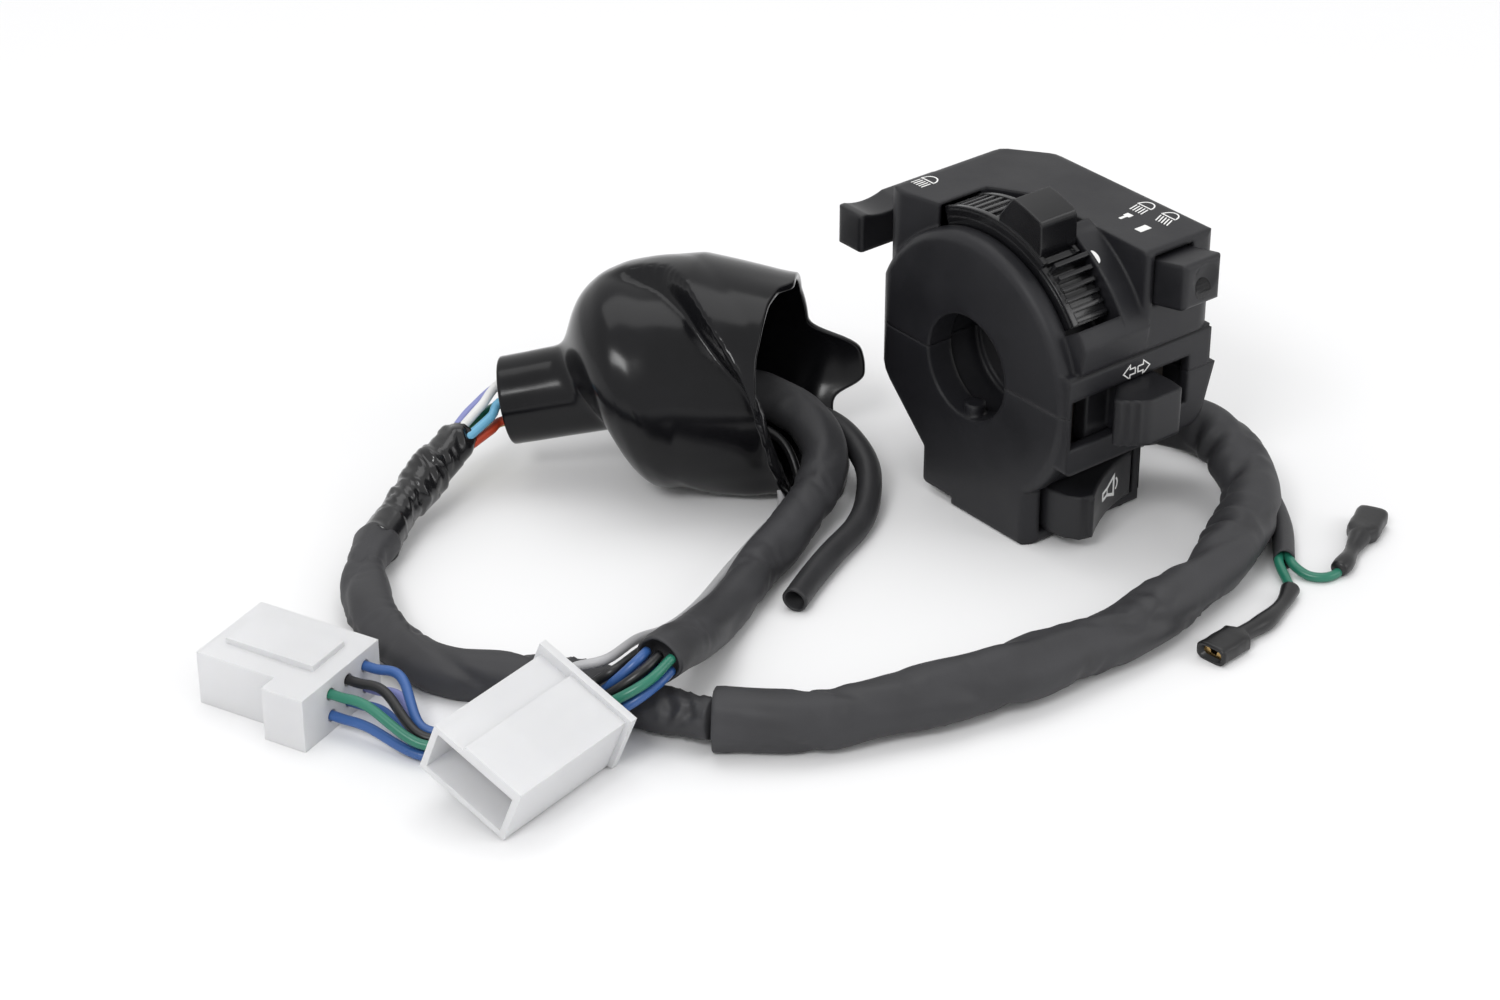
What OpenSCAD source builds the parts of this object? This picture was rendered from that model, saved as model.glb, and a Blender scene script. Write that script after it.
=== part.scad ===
// Left-hand handlebar switch cluster with its wiring harness
// X runs along the handlebar, the grip side is at -X, the rider is at -Y and +Z is up
// The origin is on the axis of the handlebar bore

/* [Handlebar] */
// Diameter of the handlebar that the bore clamps
bar_d = 22.2; // [21.8:0.1:22.6]
// Depth of the relief turned into the bore between its two lands
bore_relief = 1.4; // [0.6:0.1:1.8]
// Diameter of the peg that keys the cluster to a hole in the bar
peg_d = 4.2; // [3:0.1:5]
// How far the peg stands into the bore
peg_h = 2.5; // [1.5:0.1:4]

/* [Housing] */
// Length of the housing along the bar
body_w = 40; // [38:0.5:46]
// Wall thickness of both halves
wall = 2.2; // [1.8:0.1:2.6]
// Radius of the round end face at the grip
disc_r = 27.75; // [27:0.25:28]
// Thickness of the round end face
disc_t = 4.2; // [3.5:0.1:4.6]
// Radius of the rounded rim of the end face
disc_edge = 2; // [1:0.25:2.5]
// Distance from the bar axis to the rider's face
rider_d = 28.4; // [28:0.1:30]
// Distance from the bar axis to the far wall
far_d = 27.5; // [27:0.25:30]
// Height of the top panel above the bar axis
top_h = 29.5; // [29.3:0.1:30.5]
// Depth of the foot below the bar axis
foot_h = 32.5; // [32:0.5:36]
// Distance from the bar axis to the front of the horn box
horn_face_d = 19.2; // [18.8:0.1:20]

/* [Choke lever] */
// Outer radius of the lever's ring
lever_r = 31.5; // [31:0.1:32]
// Width of the lever along the bar
lever_w = 9.7; // [8:0.1:9.8]
// Radius of the hub that the lever turns on
hub_r = 24; // [23:0.25:24.5]
// Height of the knob's tip above the bar axis
knob_r = 38; // [36:0.25:40]
// Travel of the lever in degrees
lever_travel = 28; // [10:1:28]
// Running gap between moving pieces and the housing
run_gap = 0.3; // [0.25:0.05:0.4]

/* [Dimmer button] */
// Width of the button along the bar
dimmer_w = 9.6; // [8:0.1:10]
// Height of the button
dimmer_h = 9.4; // [7:0.1:9.8]
// How far the button stands out of the tower
dimmer_out = 8; // [6:0.1:10]
// How much the button rises towards its front
dimmer_rise = 1.6; // [0:0.1:2]
// Travel of the button
dimmer_travel = 3; // [2:0.25:4]
// Diameter of the thumb dimple
dimple_d = 5.2; // [3:0.1:6]

/* [Turn switch] */
// Length of the slot
slot_w = 31; // [29:0.5:31]
// Height of the slot
slot_h = 10.4; // [9.5:0.1:10.6]
// Length of the flat of the knob
knob_flat = 9.3; // [7:0.1:10]
// How far the knob stands out of the panel
knob_out = 8.4; // [6:0.1:10]
// Travel of the knob to each side
turn_travel = 4; // [2:0.25:4.5]

/* [Horn button] */
// Height of the horn button
horn_h = 9.5; // [8:0.1:9.8]
// Length of the horn button along the bar
horn_w = 23.6; // [22:0.1:24]
// How far its nose stands out of the box
horn_out = 8.2; // [6:0.1:9]
// Diameter of the hinge pins of the horn button and the pass trigger
pin_d = 2.6; // [2:0.1:3]

/* [Pass trigger] */
// Thickness of the paddle
paddle_t = 7.2; // [5:0.1:8]
// Height of the paddle
paddle_h = 8; // [6:0.25:9]
// Gap between the far wall and the paddle at rest
paddle_gap = 4.5; // [4:0.1:6]

/* [Harness] */
// Diameter of the thick sleeve at the housing
loom_d = 11.5; // [10:0.25:12]
// Diameter of the thinner sleeves
sleeve_d = 9; // [8:0.2:9.2]
// Diameter of the taped stretch
tape_d = 8.6; // [7:0.2:9]
// Diameter of the thin sleeve beside the boot
thin_d = 5; // [4.2:0.1:5.2]
// Diameter of one wire with its insulation
wire_d = 1.9; // [1.4:0.1:2]
// Diameter of the clutch-switch sleeve
clutch_d = 4.4; // [4:0.1:4.8]
// Outer diameter of the boot's bulb
boot_d = 47; // [46:0.5:47]
// Wall of the boot
boot_wall = 1.8; // [1.2:0.1:2]
// Outer diameter of the boot's neck
neck_d = 16; // [15:0.25:17]

/* [Hidden] */
$fn = 96;

// Small overrun that keeps cuts clear of the faces they start from
cut = 1;
// Depth by which pieces of one body run into each other
lap = 1.2;
// Small step between faces that would otherwise lie in one plane
step = 0.06;
// Ends of the housing along the bar
x_grip = -20;
x_far = x_grip + body_w;
bore_r = bar_d / 2;
sleeve_r = bore_r + wall;
floor_z = -foot_h;
// The block stands back behind the round end face, and a skin closes the lever's groove there
groove_x0 = x_grip + disc_t;
groove_skin = 0.8;
x_block = groove_x0 - groove_skin;

// Lever angles, from the rider's direction up over the top
lever_from = 35;
lever_to = 114;
knob_from = 66;
knob_to = 82;
scoop_to = 60;
pad_from = 83;
lever_x0 = groove_x0 + run_gap;
lever_x1 = lever_x0 + lever_w;
groove_x1 = lever_x1 + run_gap;
groove_r = lever_r + run_gap;
groove_from = 31;
groove_to = lever_to + lever_travel + 3;
rim_r = lever_r + 0.9;
rim_from = 26;
strip_h = 8.6;
strip_back_y = 6 - hub_r;
tower_x = groove_x1 + 5.2;
recess_floor_r = 27;

// Turn a flat drawing of Y and Z into a solid along X
module along_x(x0, x1) {
  translate([x0, 0, 0])
    rotate([90, 0, 90])
      linear_extrude(x1 - x0)
        children();
}

// Turn a flat drawing of X and Z into a solid along Y
module along_y(y0, y1) {
  translate([0, y1, 0])
    rotate([90, 0, 0])
      linear_extrude(y1 - y0)
        children();
}

// Turn a flat drawing of X and Y into a solid along Z
module along_z(z0, z1) {
  translate([0, 0, z0])
    linear_extrude(z1 - z0)
      children();
}

// A box from its lowest to its highest corner
module box(a, b) {
  translate(a)
    cube(b - a);
}

// A ring about the bar axis between two angles, measured from the rider up over the top
module sector(r0, r1, x0, x1, from, to) {
  rotate([90, 0, 90])
    rotate([0, 0, 180 - to])
      rotate_extrude(angle = to - from)
        translate([r0, x0])
          square([r1 - r0, x1 - x0]);
}

// A polygon with an arc of its own radius at each corner
function unit(v) = v / norm(v);
function corner(a, b, c, r, n = 5) =
  r == 0 ? [b] :
  let (u = unit(a - b), w = unit(c - b), half = acos(u * w) / 2)
  let (o = b + unit(u + w) * r / sin(half))
  let (s = b + u * r / tan(half) - o, e = b + w * r / tan(half) - o)
  let (a0 = atan2(s.y, s.x), da = atan2(s.x * e.y - s.y * e.x, s * e))
  [for (k = [0:n]) o + r * [cos(a0 + da * k / n), sin(a0 + da * k / n)]];
function rounded(p, r) =
  let (n = len(p))
  [for (i = [0:n - 1]) each corner(p[(i + n - 1) % n], p[i], p[(i + 1) % n], r[i])];

// A smooth curve through a route's points
function curve_at(p, i, t) =
  let (n = len(p) - 1, b = p[i], c = p[i + 1])
  let (a = i > 0 ? p[i - 1] : 2 * b - c, d = i + 1 < n ? p[i + 2] : 2 * c - b)
  0.5 * (2 * b + (c - a) * t + (2 * a - 5 * b + 4 * c - d) * t * t + (3 * b - a - 3 * c + d) * t * t * t);
function curve(p, steps) =
  [for (i = [0:len(p) - 2]) for (k = [0:steps - 1]) curve_at(p, i, k / steps), p[len(p) - 1]];

// A round tube swept along points
function way(p, i) = unit(p[min(i + 1, len(p) - 1)] - p[max(i - 1, 0)]);
function ring(p, i, r, sides) =
  let (t = way(p, i), s = unit(cross(t, [0, 0, 1])), u = cross(s, t))
  [for (k = [0:sides - 1]) p[i] + r * (cos(360 * k / sides) * s + sin(360 * k / sides) * u)];
module tube(p, r, sides) {
  n = len(p);
  skin = [for (i = [0:n - 2]) for (k = [0:sides - 1])
    let (a = i * sides + k, b = i * sides + (k + 1) % sides)
    each [[a, b, a + sides], [b, b + sides, a + sides]]];
  start_cap = [for (k = [1:sides - 2]) [0, k + 1, k]];
  last = (n - 1) * sides;
  end_cap = [for (k = [1:sides - 2]) [last, last + k, last + k + 1]];
  polyhedron([for (i = [0:n - 1]) each ring(p, i, r, sides)], concat(skin, start_cap, end_cap));
}

// A closed coil spring along Z, one unbroken wire
spring_wire = 0.7;
spring_rings = 8;
function coil(r, h, turns) =
  [for (k = [0:turns * spring_rings])
    [r * cos(360 * k / spring_rings), r * sin(360 * k / spring_rings), h * k / (turns * spring_rings)]];
module spring(d, h, turns) {
  r = (d - spring_wire) / 2;
  translate([0, 0, spring_wire / 2])
    tube(coil(r, h - spring_wire, turns), spring_wire / 2, 6);
}

// Colours as the object shows them
matte_black = "#2e2e31";
gloss_black = "#141416";
sleeve_grey = "#3c3c3f";
milky = "#dfe1e6";
brass = "#b99a52";
steel = "#a9adb3";
fibre = "#7a5a38";
wire_green = "#2f7f6a";
wire_blue = "#3f72b8";

// Housing outline seen from above, with the cut-off far corner and the lever's recess
far_left_x = x_grip + 0.6;
far_corner_x = x_far - 12;
far_corner_y = far_d - 14;
side_x = x_far - 0.5;
near_x = x_far - 1;
recess_y = 13;
recess_corner_y = 5;
block_plan = rounded(
  [[far_left_x, far_d], [far_corner_x, far_d], [side_x - 1, far_corner_y], [side_x, 0], [near_x,
    -rider_d],
    [tower_x, -rider_d], [tower_x + 1, recess_corner_y], [groove_x1 + 1.5, recess_y], [x_block,
      recess_y]],
  [5, 6, 8, 20, 4.5, 1, 2, 1, 0]);

// Wall of the outline above, moved inwards
tower_wall = wall - 0.5;
room_x0 = tower_x + tower_wall;
room_plan = [[room_x0, far_d - wall], [far_corner_x - wall / 2, far_d - wall], [side_x - 1 - wall,
  far_corner_y - wall / 2],
  [side_x - wall - 0.5, 0], [near_x - wall, wall - rider_d], [room_x0, wall - rider_d]];

// Screws that pull the halves together
screw_d = 4;
screw_gap = 0.05;
screw_head_d = 7.2;
screw_head_h = 3.2;
screw_up = 10;
boss_r = screw_d / 2 + 1.8;
near_screw = [x_far - 3.9, 6.6 - rider_d];
far_screw = [x_far - 7.8, sleeve_r + screw_d / 2 + 0.4];
near_seat = -8;
far_seat = -9;
screws = [[near_screw, near_seat], [far_screw, far_seat]];

// Turn switch
slot_x0 = -18.4;
slot_x1 = slot_x0 + slot_w;
slot_z1 = 3.6;
slot_z0 = slot_z1 - slot_h;
panel_z0 = -12.5;
panel_groove_z = 8;
panel_x0 = x_grip + 0.6;
turn_room_x0 = x_grip + wall + 1;
turn_room_x1 = slot_x1 + 0.4;
turn_room_z0 = panel_z0 + wall;
turn_room_z1 = slot_z1 + 2.6;
turn_lip = 1.5;
plate_t = 1.5;
carrier_t = 3.4;
carrier_y0 = wall - rider_d + run_gap;
carrier_y1 = carrier_y0 + carrier_t;
base_y0 = carrier_y1 + run_gap;
base_y1 = base_y0 + plate_t;
knob_x0 = -11.2;
knob_stem_x = -6.6;
knob_x1 = knob_x0 + knob_flat + 5.2;
detent_x = (knob_stem_x + knob_x1) / 2;
knob_z0 = slot_z0 + run_gap;
knob_z1 = slot_z1 - run_gap;

// Horn switch
horn_z1 = -20;
horn_z0 = horn_z1 - horn_h;
horn_gap = 0.3;
horn_x1 = 8;
horn_x0 = horn_x1 - horn_w;
horn_pocket_x0 = horn_x0 - 1.2;
horn_pocket_x1 = horn_x1 + 0.5;
horn_pin = [horn_x1 - 2.2, 2.2 - horn_face_d + 0.3];
horn_nose_y = -horn_face_d - horn_out;
horn_back_y = 4.6 - horn_face_d;
pin_gap = 0.05;
horn_hub_r = pin_d / 2 + 1;

// Lower housing
box_far_y = 11.5;
box_right_x = 10.3;
gland_x = x_far;
gland_y = -3;
lower_room_x0 = x_grip + wall;
lower_room_x1 = x_far - wall;
lower_room_z0 = floor_z + wall;
far_step_z = floor_z + 2;
far_step_y = 3;

// Loom outlet on the slanted wall between the horn box and the far end
outlet = [(box_right_x + gland_x) / 2, (gland_y - horn_face_d) / 2, panel_z0 - loom_d / 2 - 0.3];
outlet_way = unit([gland_y + horn_face_d, box_right_x - gland_x, 0]);
outlet_turn = atan2(outlet_way.y, outlet_way.x);
grommet_flange = 2;
grommet_d = loom_d - 1.6;

// Pass trigger
trigger_pin = [4.9, 19.6];
trigger_z0 = 12.5;
trigger_z1 = trigger_z0 + paddle_h;
paddle_y0 = far_d + paddle_gap;
paddle_y1 = paddle_y0 + paddle_t;
paddle_x0 = x_grip;
paddle_tail = 6;
trigger_hub_r = pin_d / 2 + 1.3;
trigger_neck = 5;
trigger_arm = 5.6;
trigger_swing = 1.7;
finger_y0 = trigger_pin.y - 3.8;
finger_y1 = finger_y0 + 2;
pass_block_z1 = trigger_z0 - run_gap;
pass_block_z0 = pass_block_z1 - 6;

// Dimmer button
dimmer_x0 = 1.8;
dimmer_z1 = top_h - 1.9;
dimmer_climb = dimmer_rise * dimmer_travel / dimmer_out;
dimmer_z0 = dimmer_z1 - dimmer_h;
dimmer_flange = 1.2;
dimmer_y0 = -rider_d - dimmer_out;
dimmer_back = wall - rider_d + run_gap;
dimmer_flange_t = 2;
dimmer_mid = [dimmer_x0 + dimmer_w / 2, (dimmer_z0 + dimmer_z1) / 2];
dimmer_block_y0 = dimmer_back + dimmer_flange_t + dimmer_travel + 2;

// The solid outside of the upper half
module upper_block() {
  top_edge = 2.5;
  intersection() {
    along_z(0, top_h) polygon(block_plan);
    along_x(x_grip, x_far)
      polygon(rounded([[-rider_d, 0], [-rider_d, top_h], [far_d, top_h], [far_d, 0]], [0, 1.5, 4, 0]));
    along_y(-rider_d, far_d)
      polygon(rounded([[far_left_x, 0], [far_left_x, top_h], [x_far - 1.5, top_h], [x_far, 0]], [0,
        top_edge, top_edge, 0]));
  }
}

// The round end face, with its rounded rim and its far corner taken off
far_corner_r = 5;
module end_disc() {
  intersection() {
    rotate([0, 90, 0])
      translate([0, 0, x_grip])
        rotate_extrude()
          polygon(rounded([[0, 0], [disc_r, 0], [disc_r, disc_t], [0, disc_t]], [0, disc_edge, 0, 0]));
    along_z(floor_z, top_h)
      polygon(rounded([[x_grip, far_d], [x_far, far_d], [x_far, -disc_r - cut], [x_grip,
        -disc_r - cut]], [far_corner_r, 0, 0, 0]));
  }
}

// What the bar and the lever take out of both halves
module bore_cut() {
  land = 6;
  relief_w = 8;
  rotate([0, 90, 0])
    translate([0, 0, x_grip - cut])
      cylinder(r = bore_r, h = body_w + 2 * cut);
  rotate([0, 90, 0])
    translate([0, 0, x_grip + land])
      cylinder(r = bore_r + bore_relief, h = relief_w);
}

module turn_room() {
  box([turn_room_x0, wall - rider_d, turn_room_z0], [turn_room_x1, -sleeve_r - 0.4, turn_room_z1]);
  box([slot_x0, -rider_d - cut, slot_z0], [slot_x1, wall - rider_d + cut, slot_z1]);
}

module screw_cuts() {
  for (s = screws) {
    translate([s[0].x, s[0].y, floor_z - cut])
      cylinder(d = screw_head_d + 0.6, h = s[1] - floor_z + cut);
    translate([s[0].x, s[0].y, floor_z])
      cylinder(d = screw_d + 2 * screw_gap, h = screw_up + foot_h);
  }
}

module upper_housing() {
  boss_h = screw_up + 2;
  ceiling = top_h - wall;
  recess_to = 150;
  band_to = 70;
  color(matte_black)
    difference() {
      union() {
        difference() {
          union() {
            upper_block();
            intersection() {
              union() {
                end_disc();
                sector(0, recess_floor_r, groove_x1 - lap, tower_x + cut, 0, recess_to);
                sector(hub_r - lap, rim_r, groove_x1 + step, tower_x + lap / 2, rim_from + step, band_to);
                sector(hub_r - 2 * lap, rim_r - step, x_block + step, tower_x + cut, rim_from,
                  groove_from + 2);
                box([panel_x0, -rider_d, 0], [x_far - 1.6, strip_back_y, strip_h]);
                along_x(x_block + 2 * step, tower_x + cut)
                  polygon([[-rider_d, 0], [-rider_d, strip_h], [-rim_r * cos(rim_from),
                    rim_r * sin(rim_from)],
                    [strip_back_y, rim_r * sin(rim_from)], [strip_back_y, 0]]);
              }
              box([x_grip - cut, -rim_r - lap, 0], [x_far, far_d, rim_r + lap]);
            }
          }
          sector(hub_r - 3 * lap, groove_r, groove_x0 - step, groove_x1, groove_from, groove_to);
          // Room for the wiring and the switch blocks
          intersection() {
            along_z(-cut, ceiling) polygon(room_plan);
            along_x(x_grip, x_far) difference() {
              translate([-rider_d, -cut]) square([rider_d + far_d, ceiling + cut]);
              circle(r = sleeve_r);
            }
          }
          // Narrow line above the turn panel
          box([panel_x0 - cut, -rider_d - cut, panel_groove_z], [x_far, 0.6 - rider_d,
            panel_groove_z + 0.6]);
          // Opening of the dimmer button
          box([dimmer_x0 - run_gap, -rider_d - cut, dimmer_z0 - run_gap],
            [dimmer_x0 + dimmer_w + run_gap, dimmer_back + dimmer_flange_t + dimmer_travel + run_gap,
              dimmer_z1 + dimmer_climb + run_gap]);
          // Opening of the pass trigger
          box([trigger_pin.x - trigger_neck / 2 - trigger_swing, far_d - wall - cut, trigger_z0 - 0.8],
            [trigger_pin.x + trigger_neck / 2 + trigger_swing / 2, far_d + cut, trigger_z1 + 0.8]);
        }
        // Hub that the lever turns on
        sector(0, hub_r, groove_x0 - lap, groove_x1 + lap, 0, 180);
        for (s = screws)
          translate([s[0].x, s[0].y, 0])
            cylinder(r = boss_r, h = boss_h);
        // Boss that holds the upper end of the trigger's pin
        translate([trigger_pin.x, trigger_pin.y, trigger_z1 + run_gap])
          cylinder(r = trigger_hub_r, h = ceiling - trigger_z1);
      }
      turn_room();
      bore_cut();
      screw_cuts();
      translate([trigger_pin.x, trigger_pin.y, trigger_z1 - cut])
        cylinder(r = pin_d / 2 + 0.02, h = 5 + cut);
    }
}

module lower_housing() {
  side_cut = 4;
  chamfer_top = 4;
  corner_r = 4;
  panel_back = 9;
  color(matte_black)
    difference() {
      union() {
        difference() {
          union() {
            // Body under the bar, with the slanted outlet wall on its right
            intersection() {
              along_z(floor_z, 0)
                polygon(rounded([[x_grip, far_d], [x_far, far_d], [gland_x, gland_y], [box_right_x,
                  -horn_face_d],
                  [x_grip + 3.2, -horn_face_d], [x_grip, 2.2 - horn_face_d]], [far_corner_r, 6, 1,
                    1, 1, 1]));
              along_x(x_grip, x_far)
                polygon(rounded([[-horn_face_d, 0], [-horn_face_d, floor_z], [far_step_y, floor_z],
                  [far_step_y, far_step_z],
                  [box_far_y, far_step_z], [box_far_y, -22.5], [far_d, -chamfer_top - 3], [far_d, 0]],
                  [0, 1.5, 0, 0, 1, 1, 3, 0]));
              along_y(-horn_face_d, far_d)
                polygon(rounded([[x_grip, 0], [x_grip, floor_z], [x_far, floor_z], [x_far, 0]], [0,
                  0.8, 3, 0]));
            }
            // Turn panel
            along_y(-rider_d, panel_back - rider_d)
              polygon(rounded([[panel_x0, 0], [panel_x0, panel_z0], [x_far - 3.5, panel_z0], [x_far, 0]],
                [0, 1.5, corner_r, 0]));
            intersection() {
              end_disc();
              box([x_grip, -disc_r, panel_z0 - 8], [x_block + cut, 0, 0]);
            }
            box([x_block, panel_back - rider_d - cut, panel_z0], [x_far - 2, 0, 0]);
          }
          // Room under the bar
          along_x(lower_room_x0, lower_room_x1)
            difference() {
              translate([wall - horn_face_d, lower_room_z0])
                square([horn_face_d + box_far_y - 2 * wall, -lower_room_z0 - sleeve_r + 6]);
              circle(r = sleeve_r);
              translate([far_step_y - wall, lower_room_z0 - cut]) square([box_far_y, 2 + cut]);
            }
          turn_room();
          // Pocket of the horn button
          box([horn_pocket_x0, -horn_face_d - cut, horn_z0 - horn_gap], [horn_pocket_x1,
            wall - horn_face_d + cut, horn_z1 + horn_gap]);
        }
        // The slanted outlet wall, closed behind the room
        intersection() {
          along_z(floor_z, panel_z0)
            polygon([[gland_x, gland_y], [box_right_x, -horn_face_d], [box_right_x,
              wall * 1.5 - horn_face_d],
              [gland_x - wall, gland_y + wall], [gland_x, gland_y + wall]]);
          along_x(x_grip, x_far) translate([-horn_face_d, floor_z + 3]) square([horn_face_d, foot_h]);
        }
        // Peg that keys the cluster to the bar
        translate([x_grip + 2.8, 0, -sleeve_r])
          cylinder(d = peg_d, h = sleeve_r - bore_r + peg_h);
        // Seats of the horn button's pin
        translate([horn_pin.x, horn_pin.y, floor_z + 0.5])
          cylinder(r = horn_hub_r, h = horn_z0 - horn_gap - floor_z - 0.5);
        translate([horn_pin.x, horn_pin.y, horn_z1 + horn_gap])
          cylinder(r = horn_hub_r, h = panel_z0 - horn_z1 - horn_gap);
      }
      difference() {
        bore_cut();
        translate([x_grip + 2.8, 0, -sleeve_r])
          cylinder(d = peg_d, h = sleeve_r - bore_r + peg_h);
      }
      screw_cuts();
      translate([horn_pin.x, horn_pin.y, floor_z + 1])
        cylinder(r = pin_d / 2 + 0.02, h = horn_z1 + 3 - floor_z - 1);
      // Hole of the loom's grommet
      translate(outlet - 6 * outlet_way)
        rotate([0, 90, outlet_turn])
          cylinder(d = grommet_d, h = 12);
    }
}

module housing_screws() {
  color(steel)
    for (s = screws)
      translate([s[0].x, s[0].y, s[1]]) {
        cylinder(d = screw_d, h = screw_up - s[1] - 1);
        difference() {
          translate([0, 0, -screw_head_h]) cylinder(d = screw_head_d, h = screw_head_h);
          for (a = [0, 90])
            rotate([0, 0, a])
              translate([-2.2, -0.5, -screw_head_h - cut])
                cube([4.4, 1, 1.5 + cut]);
        }
      }
}

// Lever that turns about the bar, with its knob, ribbed pad and ribbed scoop
module choke_lever() {
  inner = hub_r + run_gap;
  rib_pitch = 4;
  rib_w = 1.6;
  rib_h = 0.7;
  rib_dip = 0.15;
  rib_growth = 0.12;
  edge_w = 1;
  // Small turn between faces that would otherwise lie in one plane
  turn = 0.2;
  foot_r = lever_r - 2.2;
  color(gloss_black)
    union() {
      sector(inner, foot_r, lever_x0, lever_x1, lever_from, lever_to);
      sector(inner + lap, lever_r - rib_h, lever_x0 + step, lever_x1 - step, scoop_to, lever_to - turn);
      for (x = [lever_x0 + 2 * step, lever_x1 - edge_w - 2 * step])
        sector(inner + 2 * lap, lever_r, x, x + edge_w, scoop_to - turn, lever_to - 2 * turn);
      for (a = [pad_from:rib_pitch:lever_to - rib_w])
        sector(inner + 3 * lap, lever_r - rib_dip, lever_x0 + edge_w / 2, lever_x1 - edge_w / 2, a,
          a + rib_w);
      for (k = [0:5])
        sector(inner + 3 * lap, foot_r + rib_h + rib_growth * k * k, lever_x0 + edge_w,
          lever_x1 - edge_w / 4,
          lever_from + rib_pitch * k + 1, lever_from + rib_pitch * k + 1 + rib_w);
      sector(inner + 2 * lap, lever_r - 2 * rib_h, lever_x0 + 3 * step, lever_x0 + 1.5 * edge_w,
        lever_from + turn, scoop_to + turn);
      // Knob with a crowned tip, as a sector whose outline is rounded
      intersection() {
        sector(inner + 3 * lap, knob_r, lever_x0 + 4 * step, lever_x1 - 4 * step, knob_from - 4,
          knob_to + 3);
        along_x(lever_x0 - cut, lever_x1 + cut)
          rotate(180 - (knob_from + knob_to) / 2)
            polygon(rounded([
              [inner, -6.6],
              [lever_r + 1, -6.2],
              [knob_r + 0.4, -4],
              [knob_r + 0.4, 4],
              [lever_r, 6.2],
              [inner, 6.6]
            ], [0, 2, 2.4, 2.4, 2, 0]));
      }
    }
}

// Thin leaf in the groove that gives the lever its friction
module choke_leaf_spring() {
  leaf_t = 0.25;
  color(steel)
    sector(hub_r + 0.02, hub_r + 0.02 + leaf_t - 0.02, lever_x0 + 2, lever_x1 - 2, 62, 100);
}

module pass_trigger() {
  neck_y = trigger_pin.y;
  dish_r = 14;
  color(matte_black)
    difference() {
      union() {
        // Paddle behind the far wall, with a finger dish in its top edge
        along_z(trigger_z0, trigger_z1)
          polygon(rounded([[paddle_x0, paddle_y0], [trigger_pin.x + paddle_tail, paddle_y0],
            [trigger_pin.x + paddle_tail, paddle_y1 - 2], [trigger_pin.x, paddle_y1], [paddle_x0,
              paddle_y1]],
            [0.8, 1, 1, 3, 0.8]));
        box([trigger_pin.x - trigger_neck / 2, neck_y, trigger_z0],
          [trigger_pin.x + trigger_neck / 2, paddle_y0 + 1, trigger_z1]);
        translate([trigger_pin.x, neck_y, trigger_z0])
          cylinder(r = trigger_hub_r, h = paddle_h);
        // Finger that works the contact block
        box([trigger_pin.x - 1, finger_y0, trigger_z0], [trigger_pin.x + trigger_arm, finger_y1,
          trigger_z0 + 4]);
      }
      translate([trigger_pin.x, neck_y, trigger_z0 - cut])
        cylinder(r = pin_d / 2 + pin_gap, h = paddle_h + 2 * cut);
      translate([paddle_x0 + 6.5, 0, trigger_z1 + dish_r - 0.9])
        rotate([-90, 0, 0])
          cylinder(r = dish_r, h = paddle_y1 + cut);
    }
}

module pass_pin() {
  color(steel)
    translate([trigger_pin.x, trigger_pin.y, pass_block_z0 + 1])
      cylinder(d = pin_d, h = trigger_z1 + 4.5 - pass_block_z0 - 1);
}

// Return spring between the trigger's finger and the far wall
module pass_spring() {
  spring_d = 2.6;
  color(steel)
    translate([trigger_pin.x + trigger_arm - 1.5, finger_y1, trigger_z0 + 2])
      rotate([-90, 0, 0])
        spring(spring_d, 2.7, 3);
}

// Switch block that carries the lower end of the trigger's pin
module pass_contact_block() {
  color(fibre)
    difference() {
      box([room_x0, sleeve_r + 0.4, pass_block_z0], [trigger_pin.x + 3.4, far_d - wall - 3,
        pass_block_z1]);
      translate([trigger_pin.x, trigger_pin.y, pass_block_z0 + 1])
        cylinder(r = pin_d / 2 + 0.02, h = 6);
    }
}

module dimmer_button() {
  edge = 1;
  dish_r = 6;
  sink = dish_r - sqrt(dish_r * dish_r - dimple_d * dimple_d / 4);
  color(matte_black)
    difference() {
      union() {
        intersection() {
          along_x(dimmer_x0, dimmer_x0 + dimmer_w)
            polygon(rounded([[dimmer_y0, dimmer_z0 + dimmer_rise], [-rider_d, dimmer_z0],
              [dimmer_back + cut, dimmer_z0],
              [dimmer_back + cut, dimmer_z1], [-rider_d, dimmer_z1], [dimmer_y0,
                dimmer_z1 + dimmer_rise]],
              [edge, 0, 0, 0, 0, edge]));
          along_z(dimmer_z0, dimmer_z1 + dimmer_rise)
            polygon(rounded([[dimmer_x0, dimmer_y0], [dimmer_x0 + dimmer_w, dimmer_y0],
              [dimmer_x0 + dimmer_w, dimmer_back + cut], [dimmer_x0, dimmer_back + cut]], [edge,
                edge, 0, 0]));
        }
        // Flange that keeps the button in the tower
        along_y(dimmer_back, dimmer_back + dimmer_flange_t)
          translate([room_x0 + run_gap, dimmer_z0 - dimmer_flange])
            square([dimmer_x0 + dimmer_w + run_gap - room_x0, dimmer_h + dimmer_flange - 0.7]);
      }
      translate([dimmer_mid.x + 0.6, dimmer_y0 - dish_r + sink + 0.4, dimmer_mid.y + dimmer_rise + 0.8])
        sphere(r = dish_r);
      // Seat of the return spring
      translate([dimmer_mid.x, dimmer_back - 3, dimmer_mid.y])
        rotate([-90, 0, 0])
          cylinder(d = 5, h = 10);
    }
}

module dimmer_spring() {
  spring_d = 4.2;
  y0 = dimmer_back - 3;
  color(steel)
    translate([dimmer_mid.x, y0, dimmer_mid.y])
      rotate([-90, 0, 0])
        spring(spring_d, dimmer_block_y0 - y0, 5);
}

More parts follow.
